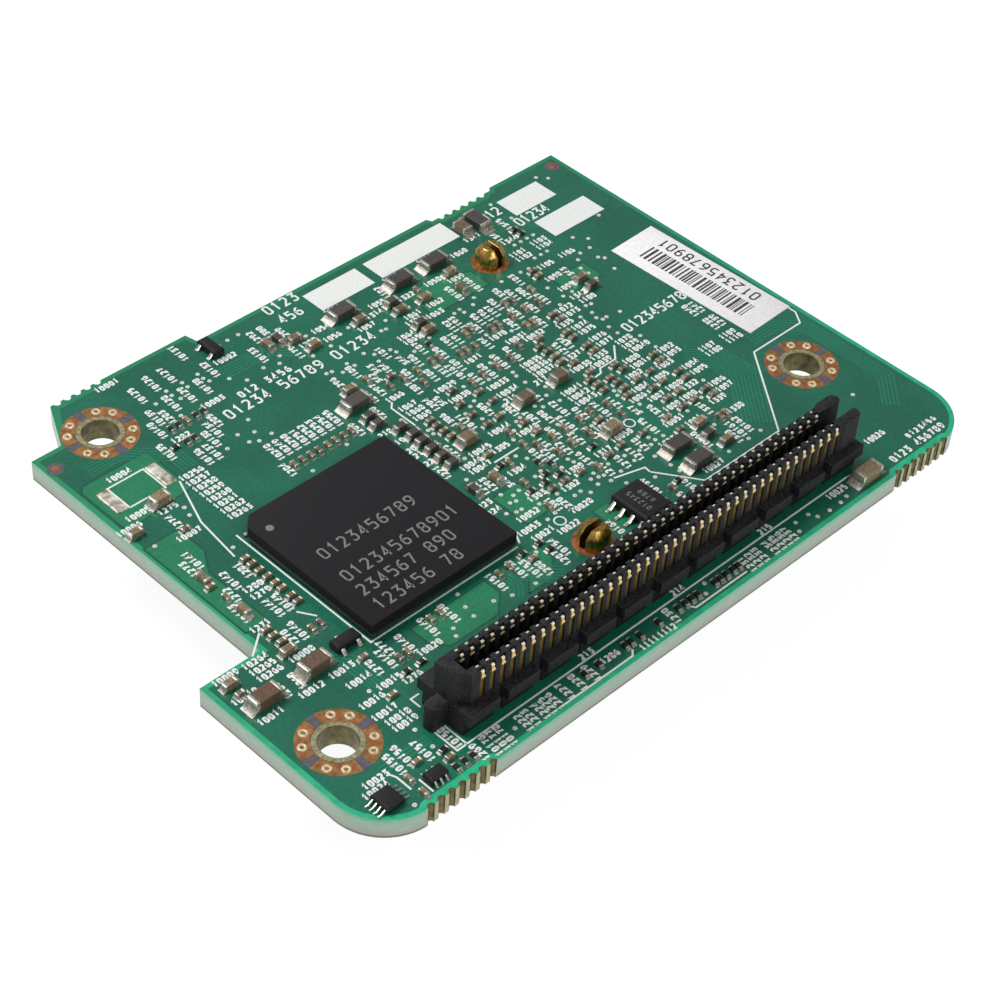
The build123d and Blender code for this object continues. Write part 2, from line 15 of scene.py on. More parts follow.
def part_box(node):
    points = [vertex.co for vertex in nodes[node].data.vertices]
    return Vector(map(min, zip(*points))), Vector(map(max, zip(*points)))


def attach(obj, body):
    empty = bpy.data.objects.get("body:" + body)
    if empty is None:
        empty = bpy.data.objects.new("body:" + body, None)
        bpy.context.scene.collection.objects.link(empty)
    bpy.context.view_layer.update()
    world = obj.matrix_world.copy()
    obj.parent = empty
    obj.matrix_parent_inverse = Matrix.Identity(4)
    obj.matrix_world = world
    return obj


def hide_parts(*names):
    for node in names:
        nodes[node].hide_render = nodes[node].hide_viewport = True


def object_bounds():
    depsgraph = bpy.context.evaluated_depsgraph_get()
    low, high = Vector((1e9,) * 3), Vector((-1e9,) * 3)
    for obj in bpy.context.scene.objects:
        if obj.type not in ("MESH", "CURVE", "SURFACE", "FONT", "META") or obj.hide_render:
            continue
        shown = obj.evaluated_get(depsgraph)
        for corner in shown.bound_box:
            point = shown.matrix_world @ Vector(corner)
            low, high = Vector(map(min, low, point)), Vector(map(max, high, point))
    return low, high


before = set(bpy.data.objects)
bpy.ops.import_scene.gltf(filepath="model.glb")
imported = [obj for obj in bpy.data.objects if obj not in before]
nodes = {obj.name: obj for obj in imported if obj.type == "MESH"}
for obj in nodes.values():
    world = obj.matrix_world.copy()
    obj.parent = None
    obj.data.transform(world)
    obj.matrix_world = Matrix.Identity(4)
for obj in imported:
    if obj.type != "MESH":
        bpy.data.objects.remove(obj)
cad_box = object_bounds()
scene = bpy.context.scene
MM = 0.001

# Board levels and the layout grid, which every place on the board is given in: 86 squares
# along X and 65 along Y, counted from the middle
board_low, board_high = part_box("circuit_board")
top = board_high.z
underside = board_low.z
column = (board_high.x - board_low.x) / 86
row = (board_high.y - board_low.y) / 65
front_edge = -32.5
# Both sides of the board: the name, the level and the way that it faces
board_sides = (("top", top, 1), ("underside", underside, -1))

# Middles of the mounting holes, and of the first half hole of each row at the front edge
mounting_holes = [(-27.86, 25.87), (-37.93, -21.45), (35.43, -14.49)]
half_hole_rows = (-36.88, 29.62)
half_hole_count = 7
half_hole_pitch = 1.27 * MM

# Thicknesses of what lies on the laminate, and the width of the rim that it leaves bare
plane_lift = 0.012 * MM
pour_lift = 0.018 * MM
ink_lift = 0.03 * MM
land_lift = 0.03 * MM
rim_width = 0.55 * MM

# The tips of the contacts reach this much higher than the CAD ones, to the end of their grooves
tip_rise = 0.22 * MM


def on_board(x, y):
    """A place on the board, from its layout squares."""
    return Vector((x * column, y * row))


# Materials

# Most of a noise texture's values lie between these two, where one colour turns to the other
low_noise, high_noise = 0.35, 0.65


def colour(code):
    """A colour written as sRGB hex, as the linear values that the shaders take."""
    parts = [int(code[i:i + 2], 16) / 255 for i in (1, 3, 5)]
    return [p / 12.92 if p <= 0.04045 else ((p + 0.055) / 1.055) ** 2.4 for p in parts] + [1]


def add_node(tree, kind, sockets=None, stops=(), **settings):
    """Adds a node with its settings. Each socket gets a value or a link, and a ramp its stops."""
    node = tree.nodes.new(kind)
    for name, value in settings.items():
        setattr(node, name, value)
    for name, value in (sockets or {}).items():
        if isinstance(value, bpy.types.NodeSocket):
            tree.links.new(value, node.inputs[name])
        else:
            node.inputs[name].default_value = value
    if stops:
        ramp = node.color_ramp.elements
        ramp.remove(ramp[1])
        ramp[0].position, ramp[0].color = stops[0][0], colour(stops[0][1])
        for position, code in stops[1:]:
            ramp.new(position).color = colour(code)
    return node


def new_finish(name, roughness, metallic=0.0, ior=1.5, reflection=0.5):
    """An empty finish: its material, node tree, shader and Object coordinates."""
    material = bpy.data.materials.new(name)
    material.use_nodes = True
    tree = material.node_tree
    shader = tree.nodes["Principled BSDF"]
    shader.inputs["Roughness"].default_value = roughness
    shader.inputs["Metallic"].default_value = metallic
    shader.inputs["IOR"].default_value = ior
    shader.inputs["Specular IOR Level"].default_value = reflection
    place = add_node(tree, "ShaderNodeTexCoord").outputs["Object"]
    return material, tree, shader, place


def grained(name, dark, light, grain, roughness, depth=0.0, metallic=0.0, spread=0.0,
            reflection=0.5):
    """A finish whose colour wanders between two shades over a grain of a real size.

    depth is the height of the grain, and spread the difference between one part and the
    next, read from the shade that the scatter gives each part."""
    material, tree, shader, place = new_finish(name, roughness, metallic, reflection=reflection)
    noise = add_node(tree, "ShaderNodeTexNoise", {"Vector": place, "Scale": 1 / grain, "Detail": 4})
    tone = add_node(tree, "ShaderNodeValToRGB", {"Fac": noise.outputs["Fac"]}, stops=(
        (low_noise, dark), (high_noise, light))).outputs["Color"]
    if spread:
        shade = add_node(tree, "ShaderNodeAttribute", attribute_name="shade")
        change = add_node(tree, "ShaderNodeMapRange", {
            "Value": shade.outputs["Fac"], "To Min": 1 - spread, "To Max": 1 + spread})
        tone = add_node(tree, "ShaderNodeHueSaturation", {
            "Color": tone, "Value": change.outputs["Result"]}).outputs["Color"]
    tree.links.new(tone, shader.inputs["Base Color"])
    rough = add_node(tree, "ShaderNodeMapRange", {
        "Value": noise.outputs["Fac"], "To Min": roughness * 0.85, "To Max": roughness * 1.2})
    tree.links.new(rough.outputs["Result"], shader.inputs["Roughness"])
    if depth:
        bump = add_node(tree, "ShaderNodeBump", {
            "Height": noise.outputs["Fac"], "Distance": depth, "Strength": 0.6})
        tree.links.new(bump.outputs["Normal"], shader.inputs["Normal"])
    return material


def solder_mask(name, dark, light, streak):
    """Liquid solder mask over copper: semi-gloss, with faint steps where tracks run under it."""
    material, tree, shader, place = new_finish(name, 0.3, ior=1.52)
    cloud = add_node(tree, "ShaderNodeTexNoise", {
        "Vector": place, "Scale": 1 / (9 * MM), "Detail": 3})
    field = add_node(tree, "ShaderNodeValToRGB", {"Fac": cloud.outputs["Fac"]}, stops=(
        (0.4, dark), (0.62, light)))
    # Tracks lie 0.2 mm apart in reality, and are drawn at 0.55 mm so that they still show. A
    # wave's period is 0.314 of the size that its scale is given by
    turned = add_node(tree, "ShaderNodeMapping", {
        "Vector": place, "Rotation": (0, 0, math.radians(45))})
    wave = add_node(tree, "ShaderNodeTexWave", {
        "Vector": turned.outputs["Vector"], "Scale": 1 / (1.75 * MM), "Distortion": 1.2,
        "Detail": 1.0, "Detail Scale": 0.4}, wave_profile="SIN")
    tracks = add_node(tree, "ShaderNodeValToRGB", {"Fac": wave.outputs["Fac"]}, stops=(
        (0.45, dark), (0.6, light)))
    patch = add_node(tree, "ShaderNodeTexNoise", {
        "Vector": place, "Scale": 1 / (14 * MM), "Detail": 1})
    shown = add_node(tree, "ShaderNodeMapRange", {
        "Value": patch.outputs["Fac"], "From Min": 0.54, "From Max": 0.62, "To Max": streak})
    mixed = add_node(tree, "ShaderNodeMix", {
        "Factor": shown.outputs["Result"], "A": field.outputs["Color"],
        "B": tracks.outputs["Color"]}, data_type="RGBA")
    # The mask pools and thins a little, which shows as fine mottling
    grain = add_node(tree, "ShaderNodeTexNoise", {
        "Vector": place, "Scale": 1 / (0.5 * MM), "Detail": 5})
    level = add_node(tree, "ShaderNodeMapRange", {
        "Value": grain.outputs["Fac"], "From Min": 0.3, "From Max": 0.7,
        "To Min": 0.88, "To Max": 1.14})
    tone = add_node(tree, "ShaderNodeHueSaturation", {
        "Color": mixed.outputs["Result"], "Value": level.outputs["Result"]})
    tree.links.new(tone.outputs["Color"], shader.inputs["Base Color"])
    bump = add_node(tree, "ShaderNodeBump", {
        "Height": grain.outputs["Fac"], "Distance": 0.01 * MM, "Strength": 0.35})
    tree.links.new(bump.outputs["Normal"], shader.inputs["Normal"])
    return material


def cut_side(tree, height, fibres):
    """Colour of the routed side: pale layers of glass, darkening to brown at the lower edge."""
    layers = add_node(tree, "ShaderNodeValToRGB", {"Fac": fibres}, stops=(
        (low_noise, "#7f8a7b"), (high_noise, "#b3b7a8")))
    share = add_node(tree, "ShaderNodeMapRange", {
        "Value": height.outputs["Z"], "From Min": underside, "From Max": top})
    tint = add_node(tree, "ShaderNodeValToRGB", {"Fac": share.outputs["Result"]}, stops=(
        (0.08, "#4d4237"), (0.14, "#a0aa99"), (0.6, "#a5c2b0"), (0.84, "#7fc6a6"),
        (1.0, "#3dbb8c")))
    side = add_node(tree, "ShaderNodeMix", {
        "Factor": 0.72, "A": layers.outputs["Color"], "B": tint.outputs["Color"]},
        data_type="RGBA")
    # Between the half holes of the front edge the cut is stained olive by their plating
    near = []
    for first in half_hole_rows:
        middle = on_board(first, 0).x + (half_hole_count - 1) / 2 * half_hole_pitch
        near.append(add_node(tree, "ShaderNodeMath", {
            0: height.outputs["X"], 1: middle, 2: 3.45 * half_hole_pitch}, operation="COMPARE"))
    zone = add_node(tree, "ShaderNodeMath", {0: near[0].outputs[0], 1: near[1].outputs[0]})
    front = add_node(tree, "ShaderNodeMath", {
        0: height.outputs["Y"], 1: board_low.y + 0.6 * MM}, operation="LESS_THAN")
    stained = add_node(tree, "ShaderNodeMath", {
        0: zone.outputs[0], 1: front.outputs[0]}, operation="MULTIPLY")
    stain = add_node(tree, "ShaderNodeValToRGB", {"Fac": fibres}, stops=(
        (low_noise, "#9a9262"), (high_noise, "#c8c196")))
    return add_node(tree, "ShaderNodeMix", {
        "Factor": stained.outputs[0], "A": side.outputs["Result"],
        "B": stain.outputs["Color"]}, data_type="RGBA").outputs["Result"]


def bare_rim(tree, place, height):
    """Colour of the rim, where the mask lies on bare laminate. It is deeper at the back."""
    pool = add_node(tree, "ShaderNodeTexNoise", {
        "Vector": place, "Scale": 1 / (1.2 * MM), "Detail": 4})
    bright = add_node(tree, "ShaderNodeValToRGB", {"Fac": pool.outputs["Fac"]}, stops=(
        (low_noise, "#149c70"), (high_noise, "#20b282")))
    back = add_node(tree, "ShaderNodeMapRange", {
        "Value": height.outputs["Y"], "From Min": board_low.y, "From Max": board_high.y})
    return add_node(tree, "ShaderNodeMix", {
        "Factor": back.outputs["Result"], "A": bright.outputs["Color"],
        "B": colour("#0f7a52")}, data_type="RGBA").outputs["Result"]


def laminate():
    """Glass-epoxy laminate cut by a router, under a bare rim of solder mask.

    Seen from above it is the bright rim, where no copper lies under the mask; seen from the
    side it shows the glass layers, pale and dull."""
    material, tree, shader, place = new_finish("masked_glass_epoxy", 0.4, ior=1.55)
    normal = add_node(tree, "ShaderNodeSeparateXYZ", {
        "Vector": add_node(tree, "ShaderNodeNewGeometry").outputs["Normal"]})
    height = add_node(tree, "ShaderNodeSeparateXYZ", {"Vector": place})
    upward = add_node(tree, "ShaderNodeMath", {0: normal.outputs["Z"]}, operation="ABSOLUTE")
    flat = add_node(tree, "ShaderNodeMath", {
        0: upward.outputs["Value"], 1: 0.6}, operation="GREATER_THAN")
    # The fibres run along the layers, so their pattern is drawn out in X and Y
    layers = add_node(tree, "ShaderNodeMapping", {"Vector": place, "Scale": (0.12, 0.12, 1)})
    fibres = add_node(tree, "ShaderNodeTexNoise", {
        "Vector": layers.outputs["Vector"], "Scale": 1 / (0.16 * MM), "Detail": 5}).outputs["Fac"]
    whole = add_node(tree, "ShaderNodeMix", {
        "Factor": flat.outputs["Value"], "A": cut_side(tree, height, fibres),
        "B": bare_rim(tree, place, height)}, data_type="RGBA")
    tree.links.new(whole.outputs["Result"], shader.inputs["Base Color"])
    bump = add_node(tree, "ShaderNodeBump", {
        "Height": fibres, "Distance": 0.03 * MM, "Strength": 0.4})
    tree.links.new(bump.outputs["Normal"], shader.inputs["Normal"])
    return material


def contact_gold(name, low, middle, gap):
    """Gold plate on a contact, coloured by height: painted shade below, and painted highlights at the
    tip and where its mate rubs.
    """
    material, tree, shader, place = new_finish(name, 0.3, metallic=0.6)
    low_corner, high_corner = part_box("contact_row_a")
    height = add_node(tree, "ShaderNodeSeparateXYZ", {"Vector": place})
    share = add_node(tree, "ShaderNodeMapRange", {
        "Value": height.outputs["Z"], "From Min": low_corner.z,
        "From Max": high_corner.z + tip_rise})
    # Painted light along the height: painted shade low down, painted highlights at the bow and at the
    # near white tip, and the gap colour between them
    tint = add_node(tree, "ShaderNodeValToRGB", {"Fac": share.outputs["Result"]}, stops=(
        (0.0, low), (0.68, middle), (0.76, "#f0d68c"), (0.82, "#fdeaba"), (0.86, gap),
        (0.91, gap), (0.94, "#fff6dc"), (1.0, "#fff6dc")))
    tree.links.new(tint.outputs["Color"], shader.inputs["Base Color"])
    return material


board_edge_finish = laminate()
# Solder mask is deep green over the copper plane, lighter over a pour or a track that lies
# nearer to it, and darkest over the gap round a pour
mask_finish = solder_mask("green_solder_mask", "#0d5b46", "#12664f", 0.25)
pour_finish = solder_mask("green_solder_mask_over_pour", "#1a7450", "#217b55", 0.2)
gap_finish = solder_mask("green_solder_mask_over_gap", "#0b4f3c", "#0e5843", 0.0)
track_finish = solder_mask("green_solder_mask_over_track", "#177055", "#1b775b", 0.0)
# Bare copper under a clear preservative: orange, faintly stained
copper_finish = grained("preserved_copper", "#8a5732", "#b07a4c", 0.6 * MM, 0.38, 0.01 * MM,
                        metallic=0.5)
# Hot-air levelled tin: domed, bright, slightly yellow from flux
tin_finish = grained("levelled_tin", "#8f8a66", "#bfb994", 0.4 * MM, 0.34, 0.015 * MM, metallic=0.7)
# The same tin in the large vias, yellowed and pale where it domes
via_finish = grained("flux_stained_tin", "#b3a678", "#f1e9c8", 0.3 * MM, 0.32, 0.02 * MM,
                     metallic=0.25)
# The same tin on the small vias, painted near white to stand for the glint of their small domes: pale
# dots
dot_finish = grained("tinned_via", "#bfc0b4", "#f4f5ee", 0.25 * MM, 0.32, 0.02 * MM, metallic=0.2)
# Mask on bare laminate inside a ring of copper: a dull violet grey
mask_bar_finish = grained("mask_over_bare_laminate", "#4f4a55", "#5f5965", 0.5 * MM, 0.4)
# Plated walls of holes, out of the light: dark olive
barrel_finish = grained("plated_hole_wall", "#4f4929", "#7f784a", 0.8 * MM, 0.38, 0.01 * MM,
                        metallic=0.4)
# Epoxy legend ink, screen printed: matt, a little thin at its edges
ink_finish = grained("white_legend_ink", "#d9dcd8", "#e9ebe8", 0.2 * MM, 0.6)
# Glass-filled liquid-crystal polymer: near black with a grey, fibrous bloom
connector_finish = grained("moulded_liquid_crystal_polymer", "#070708", "#29292e", 0.24 * MM, 0.6,
                           0.05 * MM, reflection=0.3)
# Hard gold over nickel on a stamped spring, with painted highlights at its tip and bow and painted shade
# below them; the inner rows, between the tongues, get a darker painted shade
gold_finish = contact_gold("contact_gold", "#71612c", "#a88d42", "#dcb65a")
shaded_gold_finish = contact_gold("contact_gold_dulled_in_its_groove", "#171209", "#2a2110",
                                  "#2a2110")
# Unmasked chip substrate: a dark, even green
chip_laminate_finish = grained("chip_substrate_laminate", "#16241c", "#203529", 0.4 * MM, 0.45)
# Silica-filled epoxy: dull charcoal, with the fine sparkle of its filler
mould_finish = grained("silica_filled_epoxy", "#151316", "#211e22", 0.13 * MM, 0.65, 0.012 * MM,
                       reflection=0.2)
# The same epoxy on small chips, moulded smoother: a little blacker
body_finish = grained("moulded_epoxy_body", "#0f0f11", "#1f1f22", 0.12 * MM, 0.55, 0.012 * MM,
                      reflection=0.3)
# Epoxy that a laser has burnt pale: flat grey
laser_finish = grained("laser_mark", "#646264", "#848284", 0.1 * MM, 0.7)
# Nickel plate on copper: bright and faintly warm
lid_finish = grained("nickel_plated_copper_lid", "#a9a8a3", "#c3c2bd", 0.25 * MM, 0.28,
                     0.006 * MM, metallic=1.0)
# Filled silicone, cast in a sheet: soft, dull and blue grey
pad_finish = grained("silicone_gap_filler", "#8c929a", "#a3a9b1", 0.3 * MM, 0.75, 0.02 * MM)
# Extruded and clear anodised: fine draw lines, soft satin
aluminium_finish = grained("clear_anodised_aluminium", "#b2b5b8", "#cacdd0", 0.2 * MM, 0.36,
                           0.008 * MM, metallic=1.0)
# Brass, turned and left bare: yellow, with faint tool marks
brass_finish = grained("turned_brass", "#93743a", "#c6a45c", 0.3 * MM, 0.3, 0.02 * MM, metallic=1.0)
# Drawn steel wire: smooth and bright
steel_finish = grained("bright_spring_wire", "#8e8f90", "#b9babb", 0.15 * MM, 0.25, metallic=1.0)
# Tin plated on chip leads: white and satin
lead_finish = grained("matt_tin_lead", "#a5a39d", "#d4d2cc", 0.2 * MM, 0.34, 0.01 * MM, metallic=0.9)
# Reflowed solder: silvery grey, with a slight warmth from flux
solder_finish = grained("bright_solder", "#85817a", "#bcb8ac", 0.3 * MM, 0.48, 0.03 * MM,
                        metallic=0.8)
# Tin over nickel on the ends of chip parts: pale, no two alike
cap_end_finish = grained("tinned_end_cap", "#aaa599", "#dcd7cb", 0.2 * MM, 0.32, 0.015 * MM,
                         metallic=0.85, spread=0.12)
# Barium titanate ceramic, fired: tan to brown from one part to the next
ceramic_finish = grained("fired_capacitor_ceramic", "#5d513f", "#877658", 0.2 * MM, 0.42,
                         0.01 * MM, spread=0.35)
brown_ceramic_finish = grained("brown_capacitor_ceramic", "#56412f", "#6b5443", 0.25 * MM, 0.4,
                               0.008 * MM)
tan_ceramic_finish = grained("tan_capacitor_ceramic", "#776a4e", "#94876a", 0.25 * MM, 0.4,
                             0.008 * MM)
# Sintered ferrite: dark grey and slightly porous
ferrite_finish = grained("sintered_ferrite", "#363331", "#4d4846", 0.15 * MM, 0.5, 0.015 * MM,
                         spread=0.15)
# Resistor film under a fired glaze: black and glossy
film_finish = grained("glazed_resistor_film", "#17171a", "#26262a", 0.2 * MM, 0.3, spread=0.2)
# Reflowed tin on an empty pad: bright ridges, and olive flux left between them
pad_tin_finish = grained("reflowed_pad_tin", "#8f8468", "#f4f1e8", 0.75 * MM, 0.35, 0.05 * MM,
                         metallic=0.55)
# Coated paper, and the grey black that a thermal printer leaves on it
paper_finish = grained("coated_label_paper", "#e6e4e6", "#f2f0f2", 0.4 * MM, 0.55)
print_finish = grained("black_thermal_print", "#2a2a2e", "#45454a", 0.1 * MM, 0.6)


# Mesh helpers

def put_in(name, data):
    """A new object in the scene."""
    thing = bpy.data.objects.new(name, data)
    scene.collection.objects.link(thing)
    return thing


def plain_mesh(name, made):
    """A finished shape as a mesh that an object can hold."""
    data = bpy.data.meshes.new(name)
    made.to_mesh(data)
    made.free()
    return data


def show(name, mesh, finish, replaced=()):
    """Puts a finished mesh in the scene as a piece that rides on the card."""
    if isinstance(mesh, bmesh.types.BMesh):
        mesh = plain_mesh(name, mesh)
    mesh.materials.clear()
    mesh.materials.append(finish)
    thing = put_in(name, mesh)
    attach(thing, "root")
    if replaced:
        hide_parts(*replaced)
    return thing


def joined_copy(node):
    """A copy of a node's mesh with its loose triangles joined at their corners."""
    mesh = bmesh.new()
    mesh.from_mesh(nodes[node].data)
    bmesh.ops.remove_doubles(mesh, verts=mesh.verts, dist=0.001 * MM)
    return mesh


def soften(name, node, finish, width, segments=2):
    """A node's own shape with its sharp edges rounded, as moulding or plating leaves them."""
    mesh = joined_copy(node)
    bmesh.ops.dissolve_limit(mesh, angle_limit=math.radians(1), verts=mesh.verts, edges=mesh.edges)
    thing = show(name, mesh, finish, [node])
    thing.data.shade_smooth()
    bevel = thing.modifiers.new("rounded edges", "BEVEL")
    bevel.width = width
    bevel.segments = segments
    bevel.limit_method = "ANGLE"
    bevel.angle_limit = math.radians(40)
    bevel.harden_normals = True


def join_rows(mesh, first, second):
    """Joins two rings of points with a band of faces."""
    for i in range(len(first)):
        j = (i + 1) % len(first)
        mesh.faces.new((first[i], first[j], second[j], second[i]))


def prism(mesh, outline, low, high):
    """Adds an upright prism on a flat outline that runs anticlockwise."""
    lower = [mesh.verts.new((x, y, low)) for x, y in outline]
    upper = [mesh.verts.new((x, y, high)) for x, y in outline]
    mesh.faces.new(upper)
    mesh.faces.new(reversed(lower))
    join_rows(mesh, lower, upper)


def arc(centre, radius, start, end, steps):
    """Points along an arc, its angles in degrees."""
    angles = [math.radians(start + (end - start) * i / steps) for i in range(steps + 1)]
    return [(centre.x + radius * math.cos(a), centre.y + radius * math.sin(a)) for a in angles]


def ring_part(mesh, centre, inner, outer, start, end, low, high, steps=8):
    """Adds a flat piece of a ring."""
    outside = arc(centre, outer, start, end, steps)
    inside = arc(centre, inner, end, start, steps)
    prism(mesh, outside + inside, low, high)


def whole_ring(mesh, centre, inner, outer, low, high, steps=12):
    """Adds a flat ring, in quarters that share their ends."""
    for start in (0, 90, 180, 270):
        ring_part(mesh, centre, inner, outer, start, start + 90, low, high, steps)


def mitred(point, before, after, distance):
    """A corner of a path moved to its left by a distance, out along its mitre."""
    along = (before + after).normalized() if (before + after).length > 0.01 else after
    across = Vector((-along.y, along.x))
    # Past this mitre the corner is cut off instead
    sharpest = 0.35
    return point + across * distance / max(sharpest, across.dot(Vector((-after.y, after.x))))


def beside_path(points, distance):
    """A path moved to its left by a distance."""
    moved = []
    for i, point in enumerate(points):
        before = (point - points[i - 1]).normalized() if i else None
        after = (points[i + 1] - point).normalized() if i + 1 < len(points) else None
        moved.append(mitred(point, before or after, after or before, distance))
    return moved


def stroke(mesh, points, width, level):
    """Adds a printed line of even width through the points."""
    points = [Vector(p) for p in points]
    sides = [[mesh.verts.new((p.x, p.y, level)) for p in beside_path(points, offset)]
             for offset in (width / 2, -width / 2)]
    for i in range(len(points) - 1):
        mesh.faces.new((sides[0][i], sides[1][i], sides[1][i + 1], sides[0][i + 1]))


# Board

def face_loops(node, level):
    """Outlines of a node's flat face at a height, material on the left, longest first."""
    mesh = joined_copy(node)
    flat = [f for f in mesh.faces
            if abs(f.normal.z) > 0.99 and abs(f.calc_center_median().z - level) < 0.01 * MM]
    members = set(flat)
    following = {}
    for face in flat:
        for corner in face.loops:
            if sum(f in members for f in corner.edge.link_faces) == 1:
                following[corner.vert.co.xy[:]] = corner.link_loop_next.vert.co.xy[:]
    loops = []
    while following:
        start, point = following.popitem()
        loop = [start]
        while point != start:
            loop.append(point)
            point = following.pop(point)
        loops.append([Vector(p) for p in loop])
    mesh.free()
    return sorted(loops, key=len, reverse=True)


def distance_to_edge(point, start, end):
    """How far a point is from the nearest place on a straight edge."""
    along = end - start
    share = max(0, min(1, (point - start).dot(along) / max(along.length_squared, 1e-12)))
    return (point - start - along * share).length


def inset(loop, distance):
    """A loop moved into the material by a distance, without the points that fold over."""
    moved = []
    for i, point in enumerate(loop):
        before = (point - loop[i - 1]).normalized()
        after = (loop[(i + 1) % len(loop)] - point).normalized()
        spot = mitred(point, before, after, distance)
        clear = min(distance_to_edge(spot, a, b) for a, b in zip(loop, loop[1:] + loop[:1]))
        if clear > distance * 0.97:
            moved.append(spot)
    return moved


def masked_sheet(level, facing):
    """The mask over the copper plane: the board's face, a rim's width inside its outline."""
    loops = face_loops("circuit_board", level)
    if facing < 0:
        loops = [loop[::-1] for loop in loops]
    outline = max(loops, key=lambda loop: max(p.x for p in loop) - min(p.x for p in loop))
    # The mask keeps clear of a hole by this share of its radius
    hole_clearance = 1.12
    mesh = bmesh.new()
    for loop in loops:
        if loop is outline:
            points = inset(loop, rim_width)
        else:
            centre = sum(loop, Vector((0, 0))) / len(loop)
            points = [centre + (p - centre) * hole_clearance for p in loop]
        verts = [mesh.verts.new((p.x, p.y, level + facing * plane_lift)) for p in points]
        for a, b in zip(verts, verts[1:] + verts[:1]):
            if (a.co - b.co).length > 1e-7:
                mesh.edges.new((a, b))
    bmesh.ops.triangle_fill(mesh, use_beauty=True, edges=mesh.edges, normal=(0, 0, facing))
    bmesh.ops.dissolve_limit(mesh, angle_limit=0.01, verts=mesh.verts, edges=mesh.edges)
    for face in mesh.faces:
        face.normal_update()
        if face.normal.z * facing < 0:
            face.normal_flip()
    return mesh


nodes["circuit_board"].data.materials.clear()
nodes["circuit_board"].data.materials.append(board_edge_finish)
for side, level, facing in board_sides:
    show("mask_over_plane_" + side, masked_sheet(level, facing), mask_finish)


# Copper areas under the mask that show lighter, by their corners
pours = [
    [(-34.9, 12.6), (-26.2, 13.4), (-26.2, 20.6), (-34.2, 20.6), (-34.9, 19.9)],
    [(-35.3, -5.6), (-32.6, -5.6), (-32.6, 3.0), (-31.0, 5.6), (-31.0, 9.6), (-35.3, 9.6)],
    [(-23.4, -18.0), (-22.0, -19.6), (-15.8, -19.6), (-13.6, -17.6), (-13.6, -15.4), (-23.4, -15.4)],
    [(-11.6, -19.6), (-8.2, -19.6), (-6.2, -17.4), (-6.2, -15.4), (-10.2, -15.4), (-10.2, -18.2)],
    [(1.4, -19.4), (4.8, -19.4), (4.8, -17.0), (3.2, -15.6), (1.4, -15.6)],
    [(25.6, 10.6), (30.6, 10.6), (30.6, 13.6), (25.6, 13.6)],
    [(11.2, 17.6), (19.8, 17.6), (19.8, 20.6), (16.6, 22.4), (11.2, 22.4)],
    [(-4.8, -12.6), (-4.8, -7.6), (-1.2, -7.6), (-1.2, -12.6)],
]
# Bundles of tracks: the path of the first one, and how many run on its left
track_bundles = [
    ([(25.6, -18.6), (31.0, -12.2), (31.0, -7.0), (28.0, -4.0)], 9),
    ([(-12.4, -19.5), (-11.2, -18.3), (-11.2, -15.2)], 4),
    ([(-32.6, 21.2), (-28.6, 21.2), (-25.2, 17.8), (-25.2, 15.8)], 5),
    ([(-34.6, -12.0), (-31.4, -15.2), (-31.4, -19.2)], 5),
    ([(34.2, -8.8), (38.0, -8.8), (40.0, -10.8), (40.0, -21.4), (36.8, -24.6)], 5),
    ([(26.6, 23.6), (29.6, 23.6), (32.0, 21.2)], 5),
    ([(-12.6, 24.0), (-6.6, 24.0), (-4.0, 21.4)], 5),
    ([(-37.4, -27.0), (-31.6, -27.0)], 3),
    ([(-6.4, -19.2), (-8.8, -16.8), (-8.8, -15.2)], 6),
]


def copper_areas():
    """The pours, as thin flat areas over the plane."""
    mesh = bmesh.new()
    for corners in pours:
        mesh.faces.new([mesh.verts.new((*on_board(*c), top + pour_lift)) for c in corners])
    return mesh


def plane_gaps():
    """The gap in the copper round each area, which shows as a dark line under the mask."""
    mesh = bmesh.new()
    for corners in pours:
        points = [on_board(*c) for c in corners]
        stroke(mesh, points + points[:1], 0.22 * MM, top + pour_lift * 1.1)
    return mesh


def tracks():
    """Bundles of tracks that fan out side by side under the mask."""
    mesh = bmesh.new()
    for path, count in track_bundles:
        for i in range(count):
            points = beside_path([on_board(*p) for p in path], 0.42 * MM * i)
            stroke(mesh, points, 0.2 * MM, top + pour_lift * 1.2)
    return mesh


show("copper_areas_under_mask", copper_areas(), pour_finish)
show("gaps_in_plane", plane_gaps(), gap_finish)
show("tracks_under_mask", tracks(), track_finish)


def edge_plating():
    """Plating left in the half holes along the front edge."""
    mesh = bmesh.new()
    half, corner, skin = 0.416 * MM, 0.172 * MM, 0.86
    shape = [(half, 0), (half, corner), (corner, half), (-corner, half), (-half, corner), (-half, 0)]
    for first in half_hole_rows:
        for i in range(half_hole_count):
            spot = on_board(first, front_edge) + Vector((half_hole_pitch * i, 0))
            outer = [(spot.x + x, spot.y + y) for x, y in shape]
            inner = [(spot.x + x * skin, spot.y + y * skin) for x, y in reversed(shape)]
            prism(mesh, outer + inner, underside + 0.01 * MM, top + 0.01 * MM)
    return mesh


show("edge_plating", edge_plating(), barrel_finish)


# Lands round the holes

# Inner and outer radius of each ring
tin_ring = (1.97 * MM, 2.47 * MM)
copper_ring = (2.52 * MM, 4.0 * MM)
pin_ring = (1.55 * MM, 2.18 * MM)
hole_lining = (1.9 * MM, 1.985 * MM)
mark_dot = (0.01 * MM, 0.45 * MM)
mark_gap = (0.46 * MM, 0.9 * MM)
# Round marks that the placing machine lines the board up by
placing_marks = ((-34.6, 24.4), (41.4, 29.0))
# Four bars of mask part the copper ring. Half the angle that each takes, and its play in that
bar_half_angle = 8.2
bar_play = 1.2
# Eight vias stand in each copper ring, in pairs
via_circle = 3.3 * MM
via_angles = [45 + turn + side for turn in (0, 90, 180, 270) for side in (-15, 15)]


